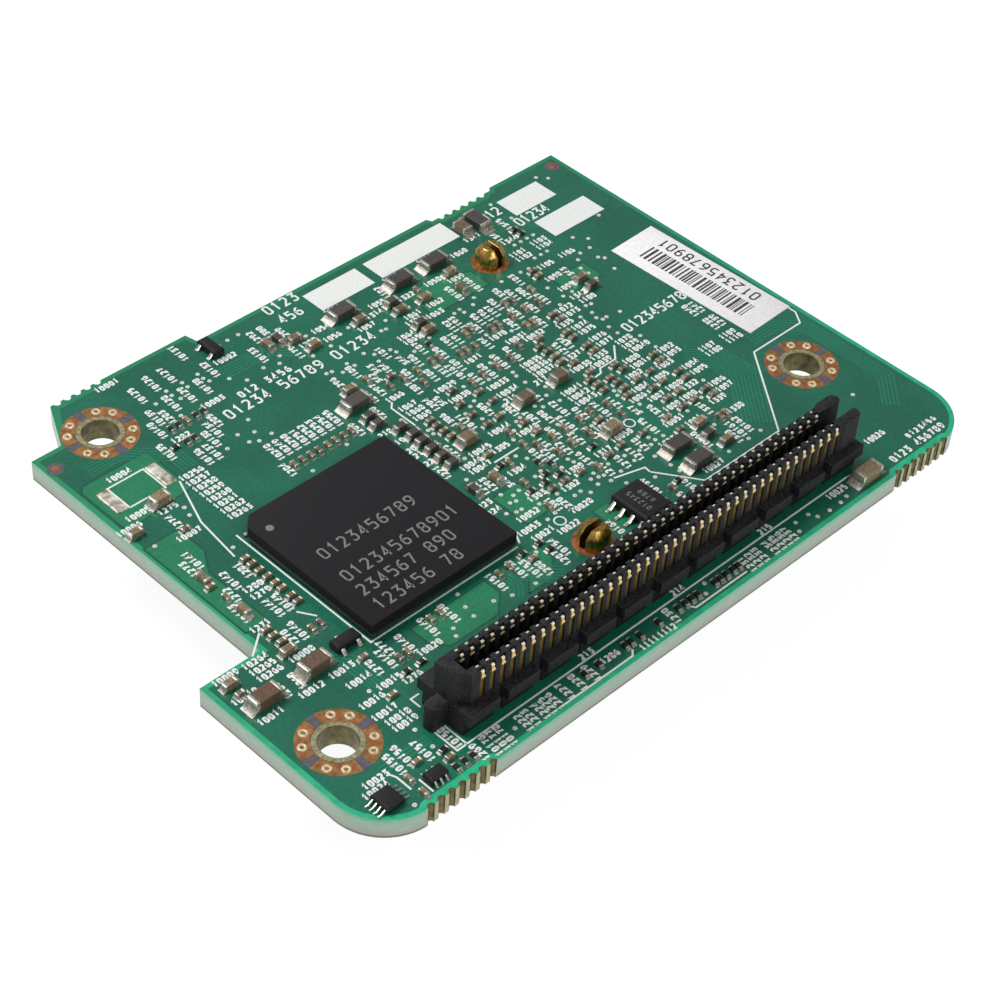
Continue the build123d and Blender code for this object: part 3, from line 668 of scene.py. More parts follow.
def lands(level, facing):
    """Copper, tin and mask bars round the mounting and push pin holes of one face."""
    copper, tin, bars = bmesh.new(), bmesh.new(), bmesh.new()
    low, high = sorted((level, level + facing * land_lift))
    raised = sorted((level, level + facing * 2 * land_lift))
    bar = bar_half_angle - bar_play
    for place in mounting_holes:
        centre = on_board(*place)
        whole_ring(tin, centre, *tin_ring, *raised)
        for start in (0, 90, 180, 270):
            ring_part(copper, centre, *copper_ring, start + bar_half_angle,
                      start + 90 - bar_half_angle, low, high, 12)
            ring_part(bars, centre, tin_ring[1], copper_ring[1], start - bar, start + bar,
                      low, high, 4)
    for pin in ("push_pin_1", "push_pin_2"):
        low_corner, high_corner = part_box(pin)
        whole_ring(copper, ((low_corner + high_corner) / 2).xy, *pin_ring, low, high)
    return copper, tin, bars


for side, level, facing in board_sides:
    copper, tin, bars = lands(level, facing)
    if side == "top":
        for place in placing_marks:
            whole_ring(copper, on_board(*place), *mark_dot, level, level + land_lift, 4)
            whole_ring(bars, on_board(*place), *mark_gap, level, level + land_lift, 6)
    show("hole_lands_" + side, copper, copper_finish)
    show("hole_rings_" + side, tin, tin_finish)
    show("land_gaps_" + side, bars, mask_bar_finish)


def hole_linings():
    """Plating on the walls of the mounting holes."""
    mesh = bmesh.new()
    for place in mounting_holes:
        whole_ring(mesh, on_board(*place), *hole_lining, underside - land_lift, top + land_lift)
    return mesh


show("mounting_hole_plating", hole_linings(), barrel_finish)


# What repeats on the board

def scatter_tree():
    """Sets one shape on every spot, turned as the spot says and a little crooked."""
    tree = bpy.data.node_groups.new("set_out_on_board", "GeometryNodeTree")
    for name, kind in (("Spots", "Geometry"), ("Shape", "Object"), ("Finish", "Material"),
                       ("Crooked by", "Float"), ("Seed", "Int")):
        tree.interface.new_socket(name, in_out="INPUT", socket_type="NodeSocket" + kind)
    tree.interface.new_socket("Parts", in_out="OUTPUT", socket_type="NodeSocketGeometry")
    given = add_node(tree, "NodeGroupInput").outputs
    shape = add_node(tree, "GeometryNodeObjectInfo", {"Object": given["Shape"]})
    turn = add_node(tree, "GeometryNodeInputNamedAttribute", {"Name": "turn"}, data_type="FLOAT")
    least = add_node(tree, "ShaderNodeMath", {0: given["Crooked by"], 1: -1.0}, operation="MULTIPLY")
    slip = add_node(tree, "FunctionNodeRandomValue", {
        2: least.outputs[0], 3: given["Crooked by"], "Seed": given["Seed"]}, data_type="FLOAT")
    angle = add_node(tree, "ShaderNodeMath", {
        0: turn.outputs["Attribute"], 1: slip.outputs[1]}, operation="ADD")
    upright = add_node(tree, "ShaderNodeCombineXYZ", {"Z": angle.outputs[0]})
    rotation = add_node(tree, "FunctionNodeEulerToRotation", {"Euler": upright.outputs["Vector"]})
    placed = add_node(tree, "GeometryNodeInstanceOnPoints", {
        "Points": given["Spots"], "Instance": shape.outputs["Geometry"],
        "Rotation": rotation.outputs["Rotation"]})
    tone = add_node(tree, "FunctionNodeRandomValue", {"Seed": given["Seed"]}, data_type="FLOAT")
    shaded = add_node(tree, "GeometryNodeStoreNamedAttribute", {
        "Geometry": placed.outputs["Instances"], "Name": "shade", "Value": tone.outputs[1]},
        data_type="FLOAT", domain="INSTANCE")
    real = add_node(tree, "GeometryNodeRealizeInstances", {"Geometry": shaded.outputs["Geometry"]})
    finished = add_node(tree, "GeometryNodeSetMaterial", {
        "Geometry": real.outputs["Geometry"], "Material": given["Finish"]})
    add_node(tree, "NodeGroupOutput", {"Parts": finished.outputs["Geometry"]})
    return tree


set_out = scatter_tree()
socket_names = {item.name: item.identifier for item in set_out.interface.items_tree
                if item.in_out == "INPUT"}


def set_out_parts(name, spots, shape, finish, replaced=(), crooked=0.0, seed=1):
    """Copies of a small shape on the spots (x, y, z, turn in degrees), as one piece."""
    points = bpy.data.meshes.new(name + "_spots")
    points.from_pydata([spot[:3] for spot in spots], [], [])
    turns = points.attributes.new("turn", "FLOAT", "POINT")
    turns.data.foreach_set("value", [math.radians(spot[3]) for spot in spots])
    carrier = put_in(name + "_spots", points)
    pattern = put_in(name + "_shape", plain_mesh(name + "_shape", shape))
    modifier = carrier.modifiers.new("set out", "NODES")
    modifier.node_group = set_out
    for label, value in (("Shape", pattern), ("Finish", finish),
                         ("Crooked by", math.radians(crooked)), ("Seed", seed)):
        modifier[socket_names[label]] = value
    bpy.context.view_layer.update()
    result = bpy.data.meshes.new_from_object(
        carrier.evaluated_get(bpy.context.evaluated_depsgraph_get()))
    for thing in (carrier, pattern):
        bpy.data.objects.remove(thing)
    result.shade_smooth()
    result.set_sharp_from_angle(angle=math.radians(35))
    show(name, result, finish, replaced)


def add_block(mesh, low, high, rounding, segments):
    """Adds a block with rounded edges between two corners."""
    low, high = Vector(low), Vector(high)
    made = bmesh.new()
    bmesh.ops.create_cube(made, size=1)
    placed = Matrix.Translation((low + high) / 2) @ Matrix.Diagonal((*(high - low), 1))
    bmesh.ops.transform(made, matrix=placed, verts=made.verts)
    bmesh.ops.bevel(made, geom=made.edges, offset=rounding, segments=segments,
                    affect="EDGES", profile=0.5)
    data = plain_mesh("part", made)
    mesh.from_mesh(data)
    bpy.data.meshes.remove(data)


def islands(node):
    """Boxes of a node's loose solids: (lowest corner, highest corner)."""
    mesh = joined_copy(node)
    left, boxes = set(mesh.verts), []
    while left:
        group, reached = set(), [left.pop()]
        while reached:
            vert = reached.pop()
            group.add(vert)
            for link in vert.link_edges:
                other = link.other_vert(vert)
                if other in left:
                    left.discard(other)
                    reached.append(other)
        corners = [v.co for v in group]
        boxes.append((Vector([min(c[i] for c in corners) for i in range(3)]),
                      Vector([max(c[i] for c in corners) for i in range(3)])))
    mesh.free()
    return sorted(boxes, key=lambda box: (round(box[0].y, 6), round(box[0].x, 6)))


# A joint's outline, from the middle of the part: shares of its length and of its height
joint_outline = ((0.47, 0.0), (0.7, 0.0), (0.7, 0.05), (0.59, 0.16), (0.5, 0.42), (0.47, 0.42))
# Chip parts lie up to this many degrees out of line
crookedness = 0.8


def end_solder(length, depth, height):
    """Solder at both ends of a chip part: a pad and a fillet that climbs the end."""
    mesh = bmesh.new()
    half = depth * 0.52
    for side in (-1, 1):
        near, far = ([mesh.verts.new((side * x * length, side * y, z * height))
                      for x, z in joint_outline] for y in (-half, half))
        mesh.faces.new(near)
        mesh.faces.new(reversed(far))
        join_rows(mesh, far, near)
    bmesh.ops.recalc_face_normals(mesh, faces=mesh.faces)
    return mesh


def dress_chip_parts(node, body_finish, body_slot, cap_share, seed):
    """Two-ended parts of one CAD node: bodies, end caps and solder, each as one piece."""
    boxes = islands(node)
    spots = []
    for low, high in boxes:
        size, middle = high - low, (low + high) / 2
        spots.append((middle.x, middle.y, low.z, 0 if size.x > size.y else 90))
    sizes = boxes[0][1] - boxes[0][0]
    length, depth, height = max(sizes.x, sizes.y), min(sizes.x, sizes.y), sizes.z
    cap = length * cap_share
    # The body is a little slimmer than its caps and reaches into them
    slim, lift = 0.02 * MM, 0.01 * MM
    body_end = length / 2 - cap * 0.6
    body, caps = bmesh.new(), bmesh.new()
    add_block(body, (-body_end, slim - depth / 2, lift), (body_end, depth / 2 - slim, height - slim),
              depth * 0.05, 1)
    for side in (-1, 1):
        inner, outer = sorted((side * length / 2, side * (length / 2 - cap)))
        add_block(caps, (inner, -depth / 2, 0), (outer, depth / 2, height), depth * 0.1, 2)
    for suffix, shape, finish, slot, replaced in (
            ("_bodies", body, body_finish, body_slot, [node]),
            ("_end_caps", caps, cap_end_finish, "tinned_lead", ()),
            ("_joints", end_solder(length, depth, height), solder_finish, "solder", ())):
        set_out_parts(node + suffix, spots, shape, finish, replaced, crookedness, seed)
    return boxes


small_parts = {}
for node, finish, slot, cap_share in (
        ("small_capacitors", ceramic_finish, "capacitor_ceramic", 0.26),
        ("resistors", film_finish, "resistor_film", 0.22),
        ("medium_capacitors", ceramic_finish, "capacitor_ceramic", 0.22),
        ("ferrite_beads", ferrite_finish, "ferrite", 0.2),
        ("large_capacitors", ceramic_finish, "capacitor_ceramic", 0.2),
        ("tall_capacitors", brown_ceramic_finish, "capacitor_ceramic", 0.17),
        ("power_inductors", ferrite_finish, "ferrite", 0.16)):
    small_parts[node] = dress_chip_parts(node, finish, slot, cap_share, len(small_parts) + 3)

# The tall capacitor at the right is made of a paler ceramic than the two at the left
tall_bodies = bpy.data.objects["tall_capacitors_bodies"].data
tall_bodies.materials.append(tan_ceramic_finish)
for face in tall_bodies.polygons:
    face.material_index = int(face.center.x > 0)

# Of the solder balls under a chip only the outer rows can be seen, so only they are made. A
# ball's radius is a share of the gap that it fills, and its height a share of its width
ball_pitch = 1.0 * MM
ball_rows = 2
ball_radius_share, ball_flattening = 0.72, 0.75


def ball_grid(name, chip, low_level, high_level):
    """The outer rows of the solder balls that a chip stands on."""
    low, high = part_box(chip)
    middle = (low + high) / 2
    last = int((high.x - low.x - ball_pitch * 0.6) / ball_pitch)
    spots = [(middle.x + (i - last / 2) * ball_pitch, middle.y + (j - last / 2) * ball_pitch,
              (low_level + high_level) / 2, 0)
             for i in range(last + 1) for j in range(last + 1)
             if min(i, j, last - i, last - j) < ball_rows]
    ball = bmesh.new()
    radius = (high_level - low_level) * ball_radius_share
    bmesh.ops.create_icosphere(ball, subdivisions=1, radius=radius)
    bmesh.ops.scale(ball, vec=(1, 1, ball_flattening), verts=ball.verts)
    set_out_parts(name, spots, ball, solder_finish)


ball_grid("network_chip_balls", "chip_substrate", top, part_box("chip_substrate")[0].z)
ball_grid("controller_balls", "controller_substrate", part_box("controller_substrate")[1].z, underside)


# Connector

soften("connector_moulding", "connector_housing", connector_finish, 0.09 * MM)


# How far a contact stands out of its groove, by the share of its height: it bows out to the
# spot that its mate rubs on, and its tip shows again above. The outer rows stand clear of
# their grooves all the way, and the inner ones only near the top
outer_profile = ((0.0, 0.5), (0.5, 0.48), (0.66, 0.6), (0.76, 0.95), (0.81, 1.0), (0.86, 0.9),
                 (0.91, 0.78), (0.96, 0.85), (1.0, 0.7))
inner_profile = ((0.0, 0.1), (0.6, 0.12), (0.72, 0.5), (0.78, 0.9), (0.82, 0.9), (0.87, 0.6),
                 (0.92, 0.75), (0.97, 0.88), (1.0, 0.7))
# A contact's thickness, and how much narrower it is above this share of its height
contact_thickness = 0.16 * MM
tip_start, tip_narrowing = 0.85, 0.68


def spring_contact(width, height, bow, profile):
    """A stamped contact: it bows out below its tip, and its tip is swept back in."""
    mesh = bmesh.new()
    rows = []
    for share, out in profile:
        half = width / 2 * (1 if share < tip_start else tip_narrowing)
        face = bow * out
        back = face - contact_thickness
        rows.append([mesh.verts.new((x, y, height * share)) for x, y in (
            (-half, back), (half, back), (half, face), (-half, face))])
    for lower, upper in zip(rows, rows[1:]):
        join_rows(mesh, lower, upper)
    mesh.faces.new(reversed(rows[0]))
    mesh.faces.new(rows[-1])
    bmesh.ops.recalc_face_normals(mesh, faces=mesh.faces)
    return mesh


# Rows a and c look to the back, and b and d to the front. Rows a and d are the outer ones
for letter, facing in (("a", 1), ("b", -1), ("c", 1), ("d", -1)):
    node = "contact_row_" + letter
    boxes = islands(node)
    size = boxes[0][1] - boxes[0][0]
    spots = []
    for low, high in boxes:
        foot, turn = (low.y, 0) if facing > 0 else (high.y, 180)
        spots.append(((low.x + high.x) / 2, foot, low.z, turn))
    if letter in "ad":
        profile, finish = outer_profile, gold_finish
    else:
        profile, finish = inner_profile, shaded_gold_finish
    contact = spring_contact(size.x, size.z + tip_rise, size.y, profile)
    set_out_parts("contacts_" + letter, spots, contact, finish, [node], seed=2)


# Chips

soften("network_chip_cap", "chip_mould_cap", mould_finish, 0.08 * MM)
soften("network_chip_substrate", "chip_substrate", chip_laminate_finish, 0.03 * MM)
soften("controller_chip_substrate", "controller_substrate", chip_laminate_finish,
       0.03 * MM)
soften("controller_chip_lid", "controller_lid", lid_finish, 0.12 * MM)
soften("gap_filler", "thermal_pad", pad_finish, 0.05 * MM)
soften("finned_heatsink", "heatsink", aluminium_finish, 0.08 * MM)
for chip in ("memory_chip", "sensor_chip", "logic_chip", "front_transistor", "back_transistor"):
    soften(chip + "_moulding", chip + "_body", body_finish, 0.05 * MM)
    soften(chip + "_tinned_leads", chip + "_leads", lead_finish, 0.03 * MM)
for number in ("1", "2"):
    soften("turned_push_pin_" + number, "push_pin_" + number, brass_finish, 0.08 * MM)
soften("bare_pad_tin", "bare_pad_solder", pad_tin_finish, 0.06 * MM)


def coil(name, spring):
    """A push pin's spring: round wire on a helix with closed ends, in the CAD spring's space."""
    low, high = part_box(spring)
    centre = (low + high) / 2
    wire_radius = 0.25 * MM
    radius = (high.x - low.x) / 2 - wire_radius
    rise = high.z - low.z - 2 * wire_radius
    turns, steps, closed_share = 3.5, 24, 0.12
    curve = bpy.data.curves.new(name, "CURVE")
    curve.dimensions = "3D"
    curve.bevel_depth = wire_radius
    curve.bevel_resolution = 2
    curve.use_fill_caps = True
    line = curve.splines.new("POLY")
    count = int(turns * steps)
    line.points.add(count)
    for i in range(count + 1):
        angle = 2 * math.pi * i / steps
        share = min(1, max(0, (i / count - closed_share) / (1 - 2 * closed_share)))
        line.points[i].co = (centre.x + radius * math.cos(angle), centre.y + radius * math.sin(angle),
                             low.z + wire_radius + rise * share, 1)
    carrier = put_in(name + "_line", curve)
    bpy.context.view_layer.update()
    mesh = bpy.data.meshes.new_from_object(carrier)
    bpy.data.objects.remove(carrier)
    mesh.shade_smooth()
    show(name, mesh, steel_finish, [spring])


for number in ("1", "2"):
    coil("coil_spring_" + number, "push_pin_spring_" + number)


# Legend ink

line_width = 0.2 * MM
digit_height = 0.6 * MM
digit_step = 0.6 * MM
digit_stroke = 0.22 * MM
large_digit_stroke = 0.24 * MM
# Each digit as one pen line on a grid two wide and four high
pen_lines = {
    "0": ((0, .5), (0, 3.5), (.5, 4), (1.5, 4), (2, 3.5), (2, .5), (1.5, 0), (.5, 0), (0, .5)),
    "1": ((.3, 3.2), (1, 4), (1, 0)),
    "2": ((0, 3.5), (.5, 4), (1.5, 4), (2, 3.5), (2, 2.5), (0, 0), (2, 0)),
    "3": ((0, 4), (2, 4), (1, 2.4), (1.5, 2.4), (2, 1.9), (2, .5), (1.5, 0), (.5, 0), (0, .5)),
    "4": ((2, 1.2), (0, 1.2), (1.5, 4), (1.5, 0)),
    "5": ((2, 4), (0, 4), (0, 2.4), (1.5, 2.4), (2, 1.9), (2, .5), (1.5, 0), (0, 0)),
    "6": ((1.8, 4), (.8, 3.6), (0, 2.2), (0, .5), (.5, 0), (1.5, 0), (2, .5), (2, 1.6), (1.5, 2.1),
          (0, 2.1)),
    "7": ((0, 4), (2, 4), (.7, 0)),
    "8": ((.5, 2.1), (0, 2.6), (0, 3.5), (.5, 4), (1.5, 4), (2, 3.5), (2, 2.6), (1.5, 2.1), (.5, 2.1),
          (0, 1.6), (0, .5), (.5, 0), (1.5, 0), (2, .5), (2, 1.6), (1.5, 2.1)),
    "9": ((.2, 0), (1.2, .4), (2, 1.8), (2, 3.5), (1.5, 4), (.5, 4), (0, 3.5), (0, 2.5), (.5, 1.9),
          (2, 1.9)),
}


def write_number(mesh, text, centre, turn, level, height=digit_height, step=digit_step,
                 pen=digit_stroke):
    """Plain digits, centred on a place and turned by an angle in degrees."""
    rotation = Matrix.Rotation(math.radians(turn), 2)
    square = height / 4
    for i, digit in enumerate(text):
        if digit == " ":
            continue
        start = Vector(((i - (len(text) - 1) / 2) * step - square, -height / 2))
        line = [centre + rotation @ (start + Vector(p) * square) for p in pen_lines[digit]]
        stroke(mesh, line, pen, level)


class Room:
    """Squares of the board's face that are already taken."""

    square = 0.12 * MM
    # Print keeps this far from the board's sides, front and back
    side_margin, front_margin, back_margin = MM, 0.3 * MM, 2.4 * MM

    def __init__(self):
        self.taken = set()

    def cells(self, x_from, x_to, y_from, y_to):
        for i in range(math.floor(x_from / self.square), math.ceil(x_to / self.square)):
            for j in range(math.floor(y_from / self.square), math.ceil(y_to / self.square)):
                yield i, j

    def take(self, *box):
        self.taken.update(self.cells(*box))

    def take_round(self, low, high, margin):
        self.take(low.x - margin, high.x + margin, low.y - margin, high.y + margin)

    def free(self, x_from, x_to, y_from, y_to):
        inside = (board_low.x + self.side_margin < x_from and x_to < board_high.x - self.side_margin
                  and board_low.y + self.front_margin < y_from
                  and y_to < board_high.y - self.back_margin)
        return inside and self.taken.isdisjoint(self.cells(x_from, x_to, y_from, y_to))


# What print keeps clear of: chip parts and lines by the first margin, leaded parts by the
# second, and the middles of mounting holes by the third
margin = 0.06 * MM
part_margin = 0.25 * MM
hole_margin = 4.2 * MM
room = Room()
for boxes in small_parts.values():
    for low, high in boxes:
        room.take_round(low, high, margin)
for node in nodes:
    low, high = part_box(node)
    if node not in small_parts and node != "circuit_board" and high.z > top + 0.05 * MM:
        room.take_round(low, high, part_margin)
for place in mounting_holes:
    room.take_round(on_board(*place), on_board(*place), hole_margin)

# Printed lines: round the connector, the network chip and the unfitted part, and from a
# part to its number
drawn_lines = [
    [(10.2, -15.4), (13.5, -20), (25.1, -20), (33.1, -9.7), (40.9, -9.7), (42.0, -8.1), (42.0, -5.5)],
    [(6.7, -13.6), (10.3, -14.6), (10.2, -15.4)],
    [(-26.5, 14.9), (-28.7, 8.9), (-29.4, 3.0)],
    [(-36.8, -8.3), (-34.2, -6.3)],
    [(-29.9, -6.6), (-28.8, -8.3)],
    [(-29.5, -26.4), (-29.5, -29.35), (25.5, -29.35)],
    [(-30.7, -26.4), (-30.7, -29.35), (-29.5, -29.35)],
    [(-29.55, -23.3), (-29.55, -22), (-28.5, -22)],
    [(-19.5, -31.9), (-10.2, -31.9), (-9.6, -31.3)],
    [(-1.3, -31.0), (-0.9, -31.6), (6.6, -31.6)],
    [(-37.2, -27.3), (-36.9, -28.0), (-36.9, -29.9)],
    [(-35.6, -29.5), (-35.6, -31.4)],
    [(-0.8, -3.9), (2.7, -3.9)],
    [(16.9, -1.3), (17.9, -1.2), (18.4, -0.6), (20.8, -0.6), (22.4, 1.1)],
    [(-2.2, 9.9), (-2.9, 9.2), (-2.9, 5.6)],
    [(-27.35, 5.2), (-27.35, -14.25), (-7.8, -14.25)],
    [(-7.3, -14.0), (-6.7, -12.9)],
    [(-32.6, 15.1), (-28.1, 15.1), (-28.1, 18.7), (-32.6, 18.7), (-32.6, 15.1)],
]
# White fields for a number to be written in by hand, left blank
blank_fields = [(2.6, 10.3, 26.05, 29.45), (11.5, 23.45, 26.1, 29.45),
                (31.2, 37.7, 24.7, 28.1), (31.8, 39.9, 19.05, 22.5)]
# Printed rings beside two of the chips
ring_radius = 0.6 * MM
printed_rings = [(14.2, -8.8), (-2.0, -14.4)]
# Places that stay clear of print
clear_places = [(-14.4, -7.6, 13.4, 18.2), (-23, -18, 7.5, 14.5), (27.5, 34.5, 5.5, 9.5),
                (36, 42.5, 13.5, 17.5), (26.4, 32.5, -2.5, 1.5), (38.8, 42.2, -20.6, -17.4),
                (34.5, 40.5, -28.5, -22.5), (-43, -35.2, -6.2, 22)]
# Part numbers, by how many digits they have and the way that they read: the places of
# their middles
part_numbers = {
    (5, 0): [
        (-22.8, 31.3), (-10.7, 26.7), (-16.2, 22.1), (-30.5, 19.5), (-32.6, 13.8), (-34.6, 12.7),
        (-30.7, 8.3), (-33.2, -11.1), (-40.4, -8.7), (-40.6, -11.7), (-40.4, -15.1), (-35.5, -15.1),
        (-31.8, -15.1), (-31.5, -17.1), (-29.5, -19.1), (-32.3, -19.8), (-32.4, -21.6), (-31.9, -22.8),
        (-31.9, -23.8), (-23.7, -18.4), (-4.6, -14.6), (-2.0, -15.6), (-38.5, -27.0), (-39.3, -27.9),
        (22.3, -30.1), (32.0, -27.3), (15.8, -19.1), (1.2, -14.3), (3.7, 8.0), (3.7, 5.85),
        (15.2, 8.9), (17.0, 8.0), (8.2, 4.7), (8.2, 3.2), (13.5, 5.0), (13.5, 4.05), (13.5, 3.05),
        (17.0, 0.95), (19.2, 0.0), (24.3, -0.85), (13.5, -1.1), (13.5, -2.15), (13.5, -3.2),
        (3.2, -0.6), (-0.6, -1.6), (-2.7, -2.5), (-2.4, -3.5), (5.35, -2.6), (12.1, -7.3),
        (12.1, -9.65), (18.0, -11.6), (-3.8, -11.7), (-5.2, -13.2)],
    (4, 0): [
        (0.3, 23.9), (7.85, 23.1), (0.35, 22.0), (4.3, 20.9), (15.2, 22.0), (17.6, 20.8), (21.1, 23.9),
        (9.5, 19.15), (12.8, 19.1), (11.5, 17.7), (6.5, 17.0), (6.5, 16.05), (-1.4, 10.3), (-1.4, 8.35),
        (-1.3, 7.3), (-1.3, 6.25), (14.0, 10.5), (9.2, 9.4), (23.0, 9.15), (23.0, 8.1), (22.1, 5.95),
        (22.1, 4.9), (22.1, 3.3), (22.1, 2.2), (23.9, 1.1), (23.9, 0.1), (22.1, -1.7), (22.1, -2.8),
        (20.4, -3.7), (24.2, -4.7), (19.3, -5.6), (22.3, -5.75), (17.85, -6.6), (19.5, -7.75),
        (22.3, -7.75), (19.6, -9.9), (22.2, -9.9), (19.6, -13.0), (26.3, -2.85), (26.3, -3.9),
        (26.3, -6.5), (26.3, -7.7), (26.3, -10.3), (26.3, -11.4), (26.1, 13.9), (25.9, 11.7),
        (26.2, 8.7), (26.2, 19.6), (26.2, 18.6), (29.6, 19.7), (29.6, 18.7), (27.0, 16.0), (30.4, 16.0),
        (29.9, -5.7), (29.9, -6.7), (33.3, -5.7), (33.3, -6.7), (-7.8, -31.85), (-5.3, -31.85)],
    (3, 0): [
        (-13.3, -28.8), (-0.5, -28.8), (12.5, -28.8), (7.6, 2.15), (12.1, 2.15), (-6.1, 6.7),
        (-6.1, 4.8), (-6.1, 3.1), (-6.1, 2.1), (-6.1, 0.5), (-5.9, -7.7), (-5.9, -9.0)],
    (5, 90): [
        (-21.4, 27.9), (-19.1, 28.5), (-17.0, 28.5), (-19.5, 24.7), (-17.4, 24.7), (-15.3, 24.7),
        (-13.8, 30.6), (-13.0, 26.3), (-7.6, 24.8), (-18.9, 18.7), (-24.7, 19.1), (-22.3, 16.1),
        (-21.1, 16.1), (-20.0, 17.7), (-22.2, 24.0), (-23.3, 22.3), (-32.7, 5.2), (-31.8, 0.7),
        (-34.0, -3.3), (-31.1, -4.8), (-30.0, -4.8), (-31.4, -8.6), (-27.7, -16.8), (-25.0, -16.6),
        (-21.9, -16.4), (-19.2, -16.4), (-12.8, -16.4), (-10.1, -16.4), (-9.0, -17.3), (-4.7, -17.0),
        (-36.0, -26.8), (-34.8, -26.5), (-33.0, -27.3), (-30.1, -27.8), (8.6, -17.0), (18.0, -15.6),
        (22.0, -16.8), (23.1, -16.8), (11.8, -19.3), (1.5, -18.9), (15.6, 18.9), (18.3, 18.7),
        (6.3, 9.1), (9.0, 6.9), (11.1, 7.2), (13.1, 7.2), (1.5, 2.5), (10.35, -2.4), (9.2, -4.6),
        (13.6, -5.3), (15.4, -10.5), (-28.0, -30.9), (-27.05, -30.9), (-26.15, -30.9)],
    (4, 90): [
        (-4.2, 22.5), (-1.9, 16.1), (2.65, 16.4), (9.7, 24.2), (22.6, 16.1), (1.1, 14.1), (2.2, 11.9),
        (4.4, 13.2), (6.2, 14.4), (4.0, 10.3), (7.3, 9.7), (9.2, 13.1), (10.3, 13.1), (11.3, 15.0),
        (12.3, 15.0), (12.2, 10.4), (14.4, 13.9), (15.5, 13.9), (16.6, 13.9), (17.7, 14.5),
        (20.35, 14.5), (21.5, 13.9), (20.35, 11.6), (16.6, 10.9), (19.2, 9.2), (0.7, 6.9), (4.4, 2.6),
        (6.3, 0.85), (7.1, -1.5), (8.35, -2.4), (7.1, -4.7), (11.5, -4.4), (15.4, -5.5), (6.2, -7.1),
        (8.3, -6.9), (10.1, -7.2), (17.6, 4.5), (9.2, -12.5), (11.1, -12.5), (12.6, -11.9),
        (7.1, -12.2), (0.2, -13.1), (-5.8, -1.5), (-23.8, -31.0), (-22.85, -31.0), (-21.6, -31.0),
        (-20.7, -31.0), (-19.8, -31.0), (-18.2, -30.8), (-16.5, -30.8), (-14.7, -30.8), (-3.5, -30.8),
        (7.4, -31.0), (8.4, -31.0), (9.4, -31.0), (11.0, -31.0), (12.0, -31.0), (12.95, -31.0),
        (13.9, -31.0), (33.3, -3.4), (34.3, -3.4), (33.3, -0.3), (34.3, -0.3)],
    (3, 90): [(-0.8, 13.9), (0.1, 15.1), (3.4, 14.2), (1.7, 6.7), (-1.9, -6.9), (16.2, -7.8)],
}
# Stacks of numbers with five digits: their first place, the step to the next one, how many,
# and the turn
number_stacks = [((-16.5, 12.0), (1.14, 0), 8, 90), ((-24.9, 15.0), (0, -1.07), 8, 0),
                 ((-37.0, -8.9), (0, -1.05), 3, 0)]
# Larger plain numbers: the text, its middle, its height and the step from digit to digit
board_numbers = [("01234 56789 01234", (-6.3, 19.5), 1.3, 1.22), ("012 3456", (-10.0, 21.1), 0.8, 0.9),
                 ("0123 456789", (34.8, -30.8), 0.75, 0.8), ("0123456", (37.0, -29.5), 0.5, 0.7),
                 ("012345678", (30.1, 2.3), 1.25, 1.08), ("0123", (-0.1, 30.0), 1.3, 1.2),
                 ("456", (-0.6, 27.8), 1.2, 1.1), ("01234", (32.6, 23.7), 1.3, 1.02),
                 ("012", (29.0, 26.9), 1.3, 1.02)]


def take_line(points):
    """Takes the room that a printed line needs."""
    for a, b in zip(points, points[1:]):
        steps = max(1, int((b - a).length / room.square))
        for i in range(steps + 1):
            spot = a + (b - a) * i / steps
            room.take_round(spot, spot, margin)


def half_sizes(digits, turn):
    """Half of the room that a part's number takes, along X and along Y."""
    long_half, short_half = digits * digit_step / 2, (digit_height + digit_stroke) / 2
    return (long_half, short_half) if turn == 0 else (short_half, long_half)


def number_box(place, digits, turn):
    """The room that a part's number takes."""
    across, up = half_sizes(digits, turn)
    return place.x - across, place.x + across, place.y - up, place.y + up


def print_number(ink, number, digits, place, turn):
    """Prints a plain number. Each lies a hair above the last, where two of them meet."""
    hair = 0.001 * MM
    room.take(*number_box(place, digits, turn))
    level = top + ink_lift + number % 8 * hair
    write_number(ink, str(10 ** (digits - 1) + number), place, turn, level)


def beside(low, high, digits, swapped):
    """Places for a part's number: on each side of it, in both reading directions."""
    middle, gap = (low + high) / 2, 0.12 * MM
    found = []
    for turn in (0, 90):
        across, up = half_sizes(digits, turn)
        for x, y in ((middle.x, high.y + gap + up), (middle.x, low.y - gap - up),
                     (high.x + gap + across, middle.y), (low.x - gap - across, middle.y)):
            found.append((Vector((x, y)), turn))
    return found[4:] + found[:4] if swapped else found


def print_drawing(ink):
    """The lines, white fields, rings and larger numbers of the legend."""
    level = top + ink_lift
    for line in drawn_lines:
        points = [on_board(*p) for p in line]
        stroke(ink, points, line_width, level)
        take_line(points)
    for x_from, x_to, y_from, y_to in blank_fields + clear_places:
        room.take_round(on_board(x_from, y_from), on_board(x_to, y_to), margin)
    for x_from, x_to, y_from, y_to in blank_fields:
        corners = ((x_from, y_from), (x_to, y_from), (x_to, y_to), (x_from, y_to))
        ink.faces.new([ink.verts.new((*on_board(*c), level)) for c in corners])
    for place in printed_rings:
        points = [Vector(p) for p in arc(on_board(*place), ring_radius, 0, 360, 20)]
        stroke(ink, points, line_width * 0.8, level)
        take_line(points)
    for text, place, height, step in board_numbers:
        place, half = on_board(*place), Vector((len(text) * step * MM / 2, height * 0.6 * MM))
        room.take_round(place - half, place + half, 0)
        write_number(ink, text, place, 0, level, height * MM, step * MM, large_digit_stroke)


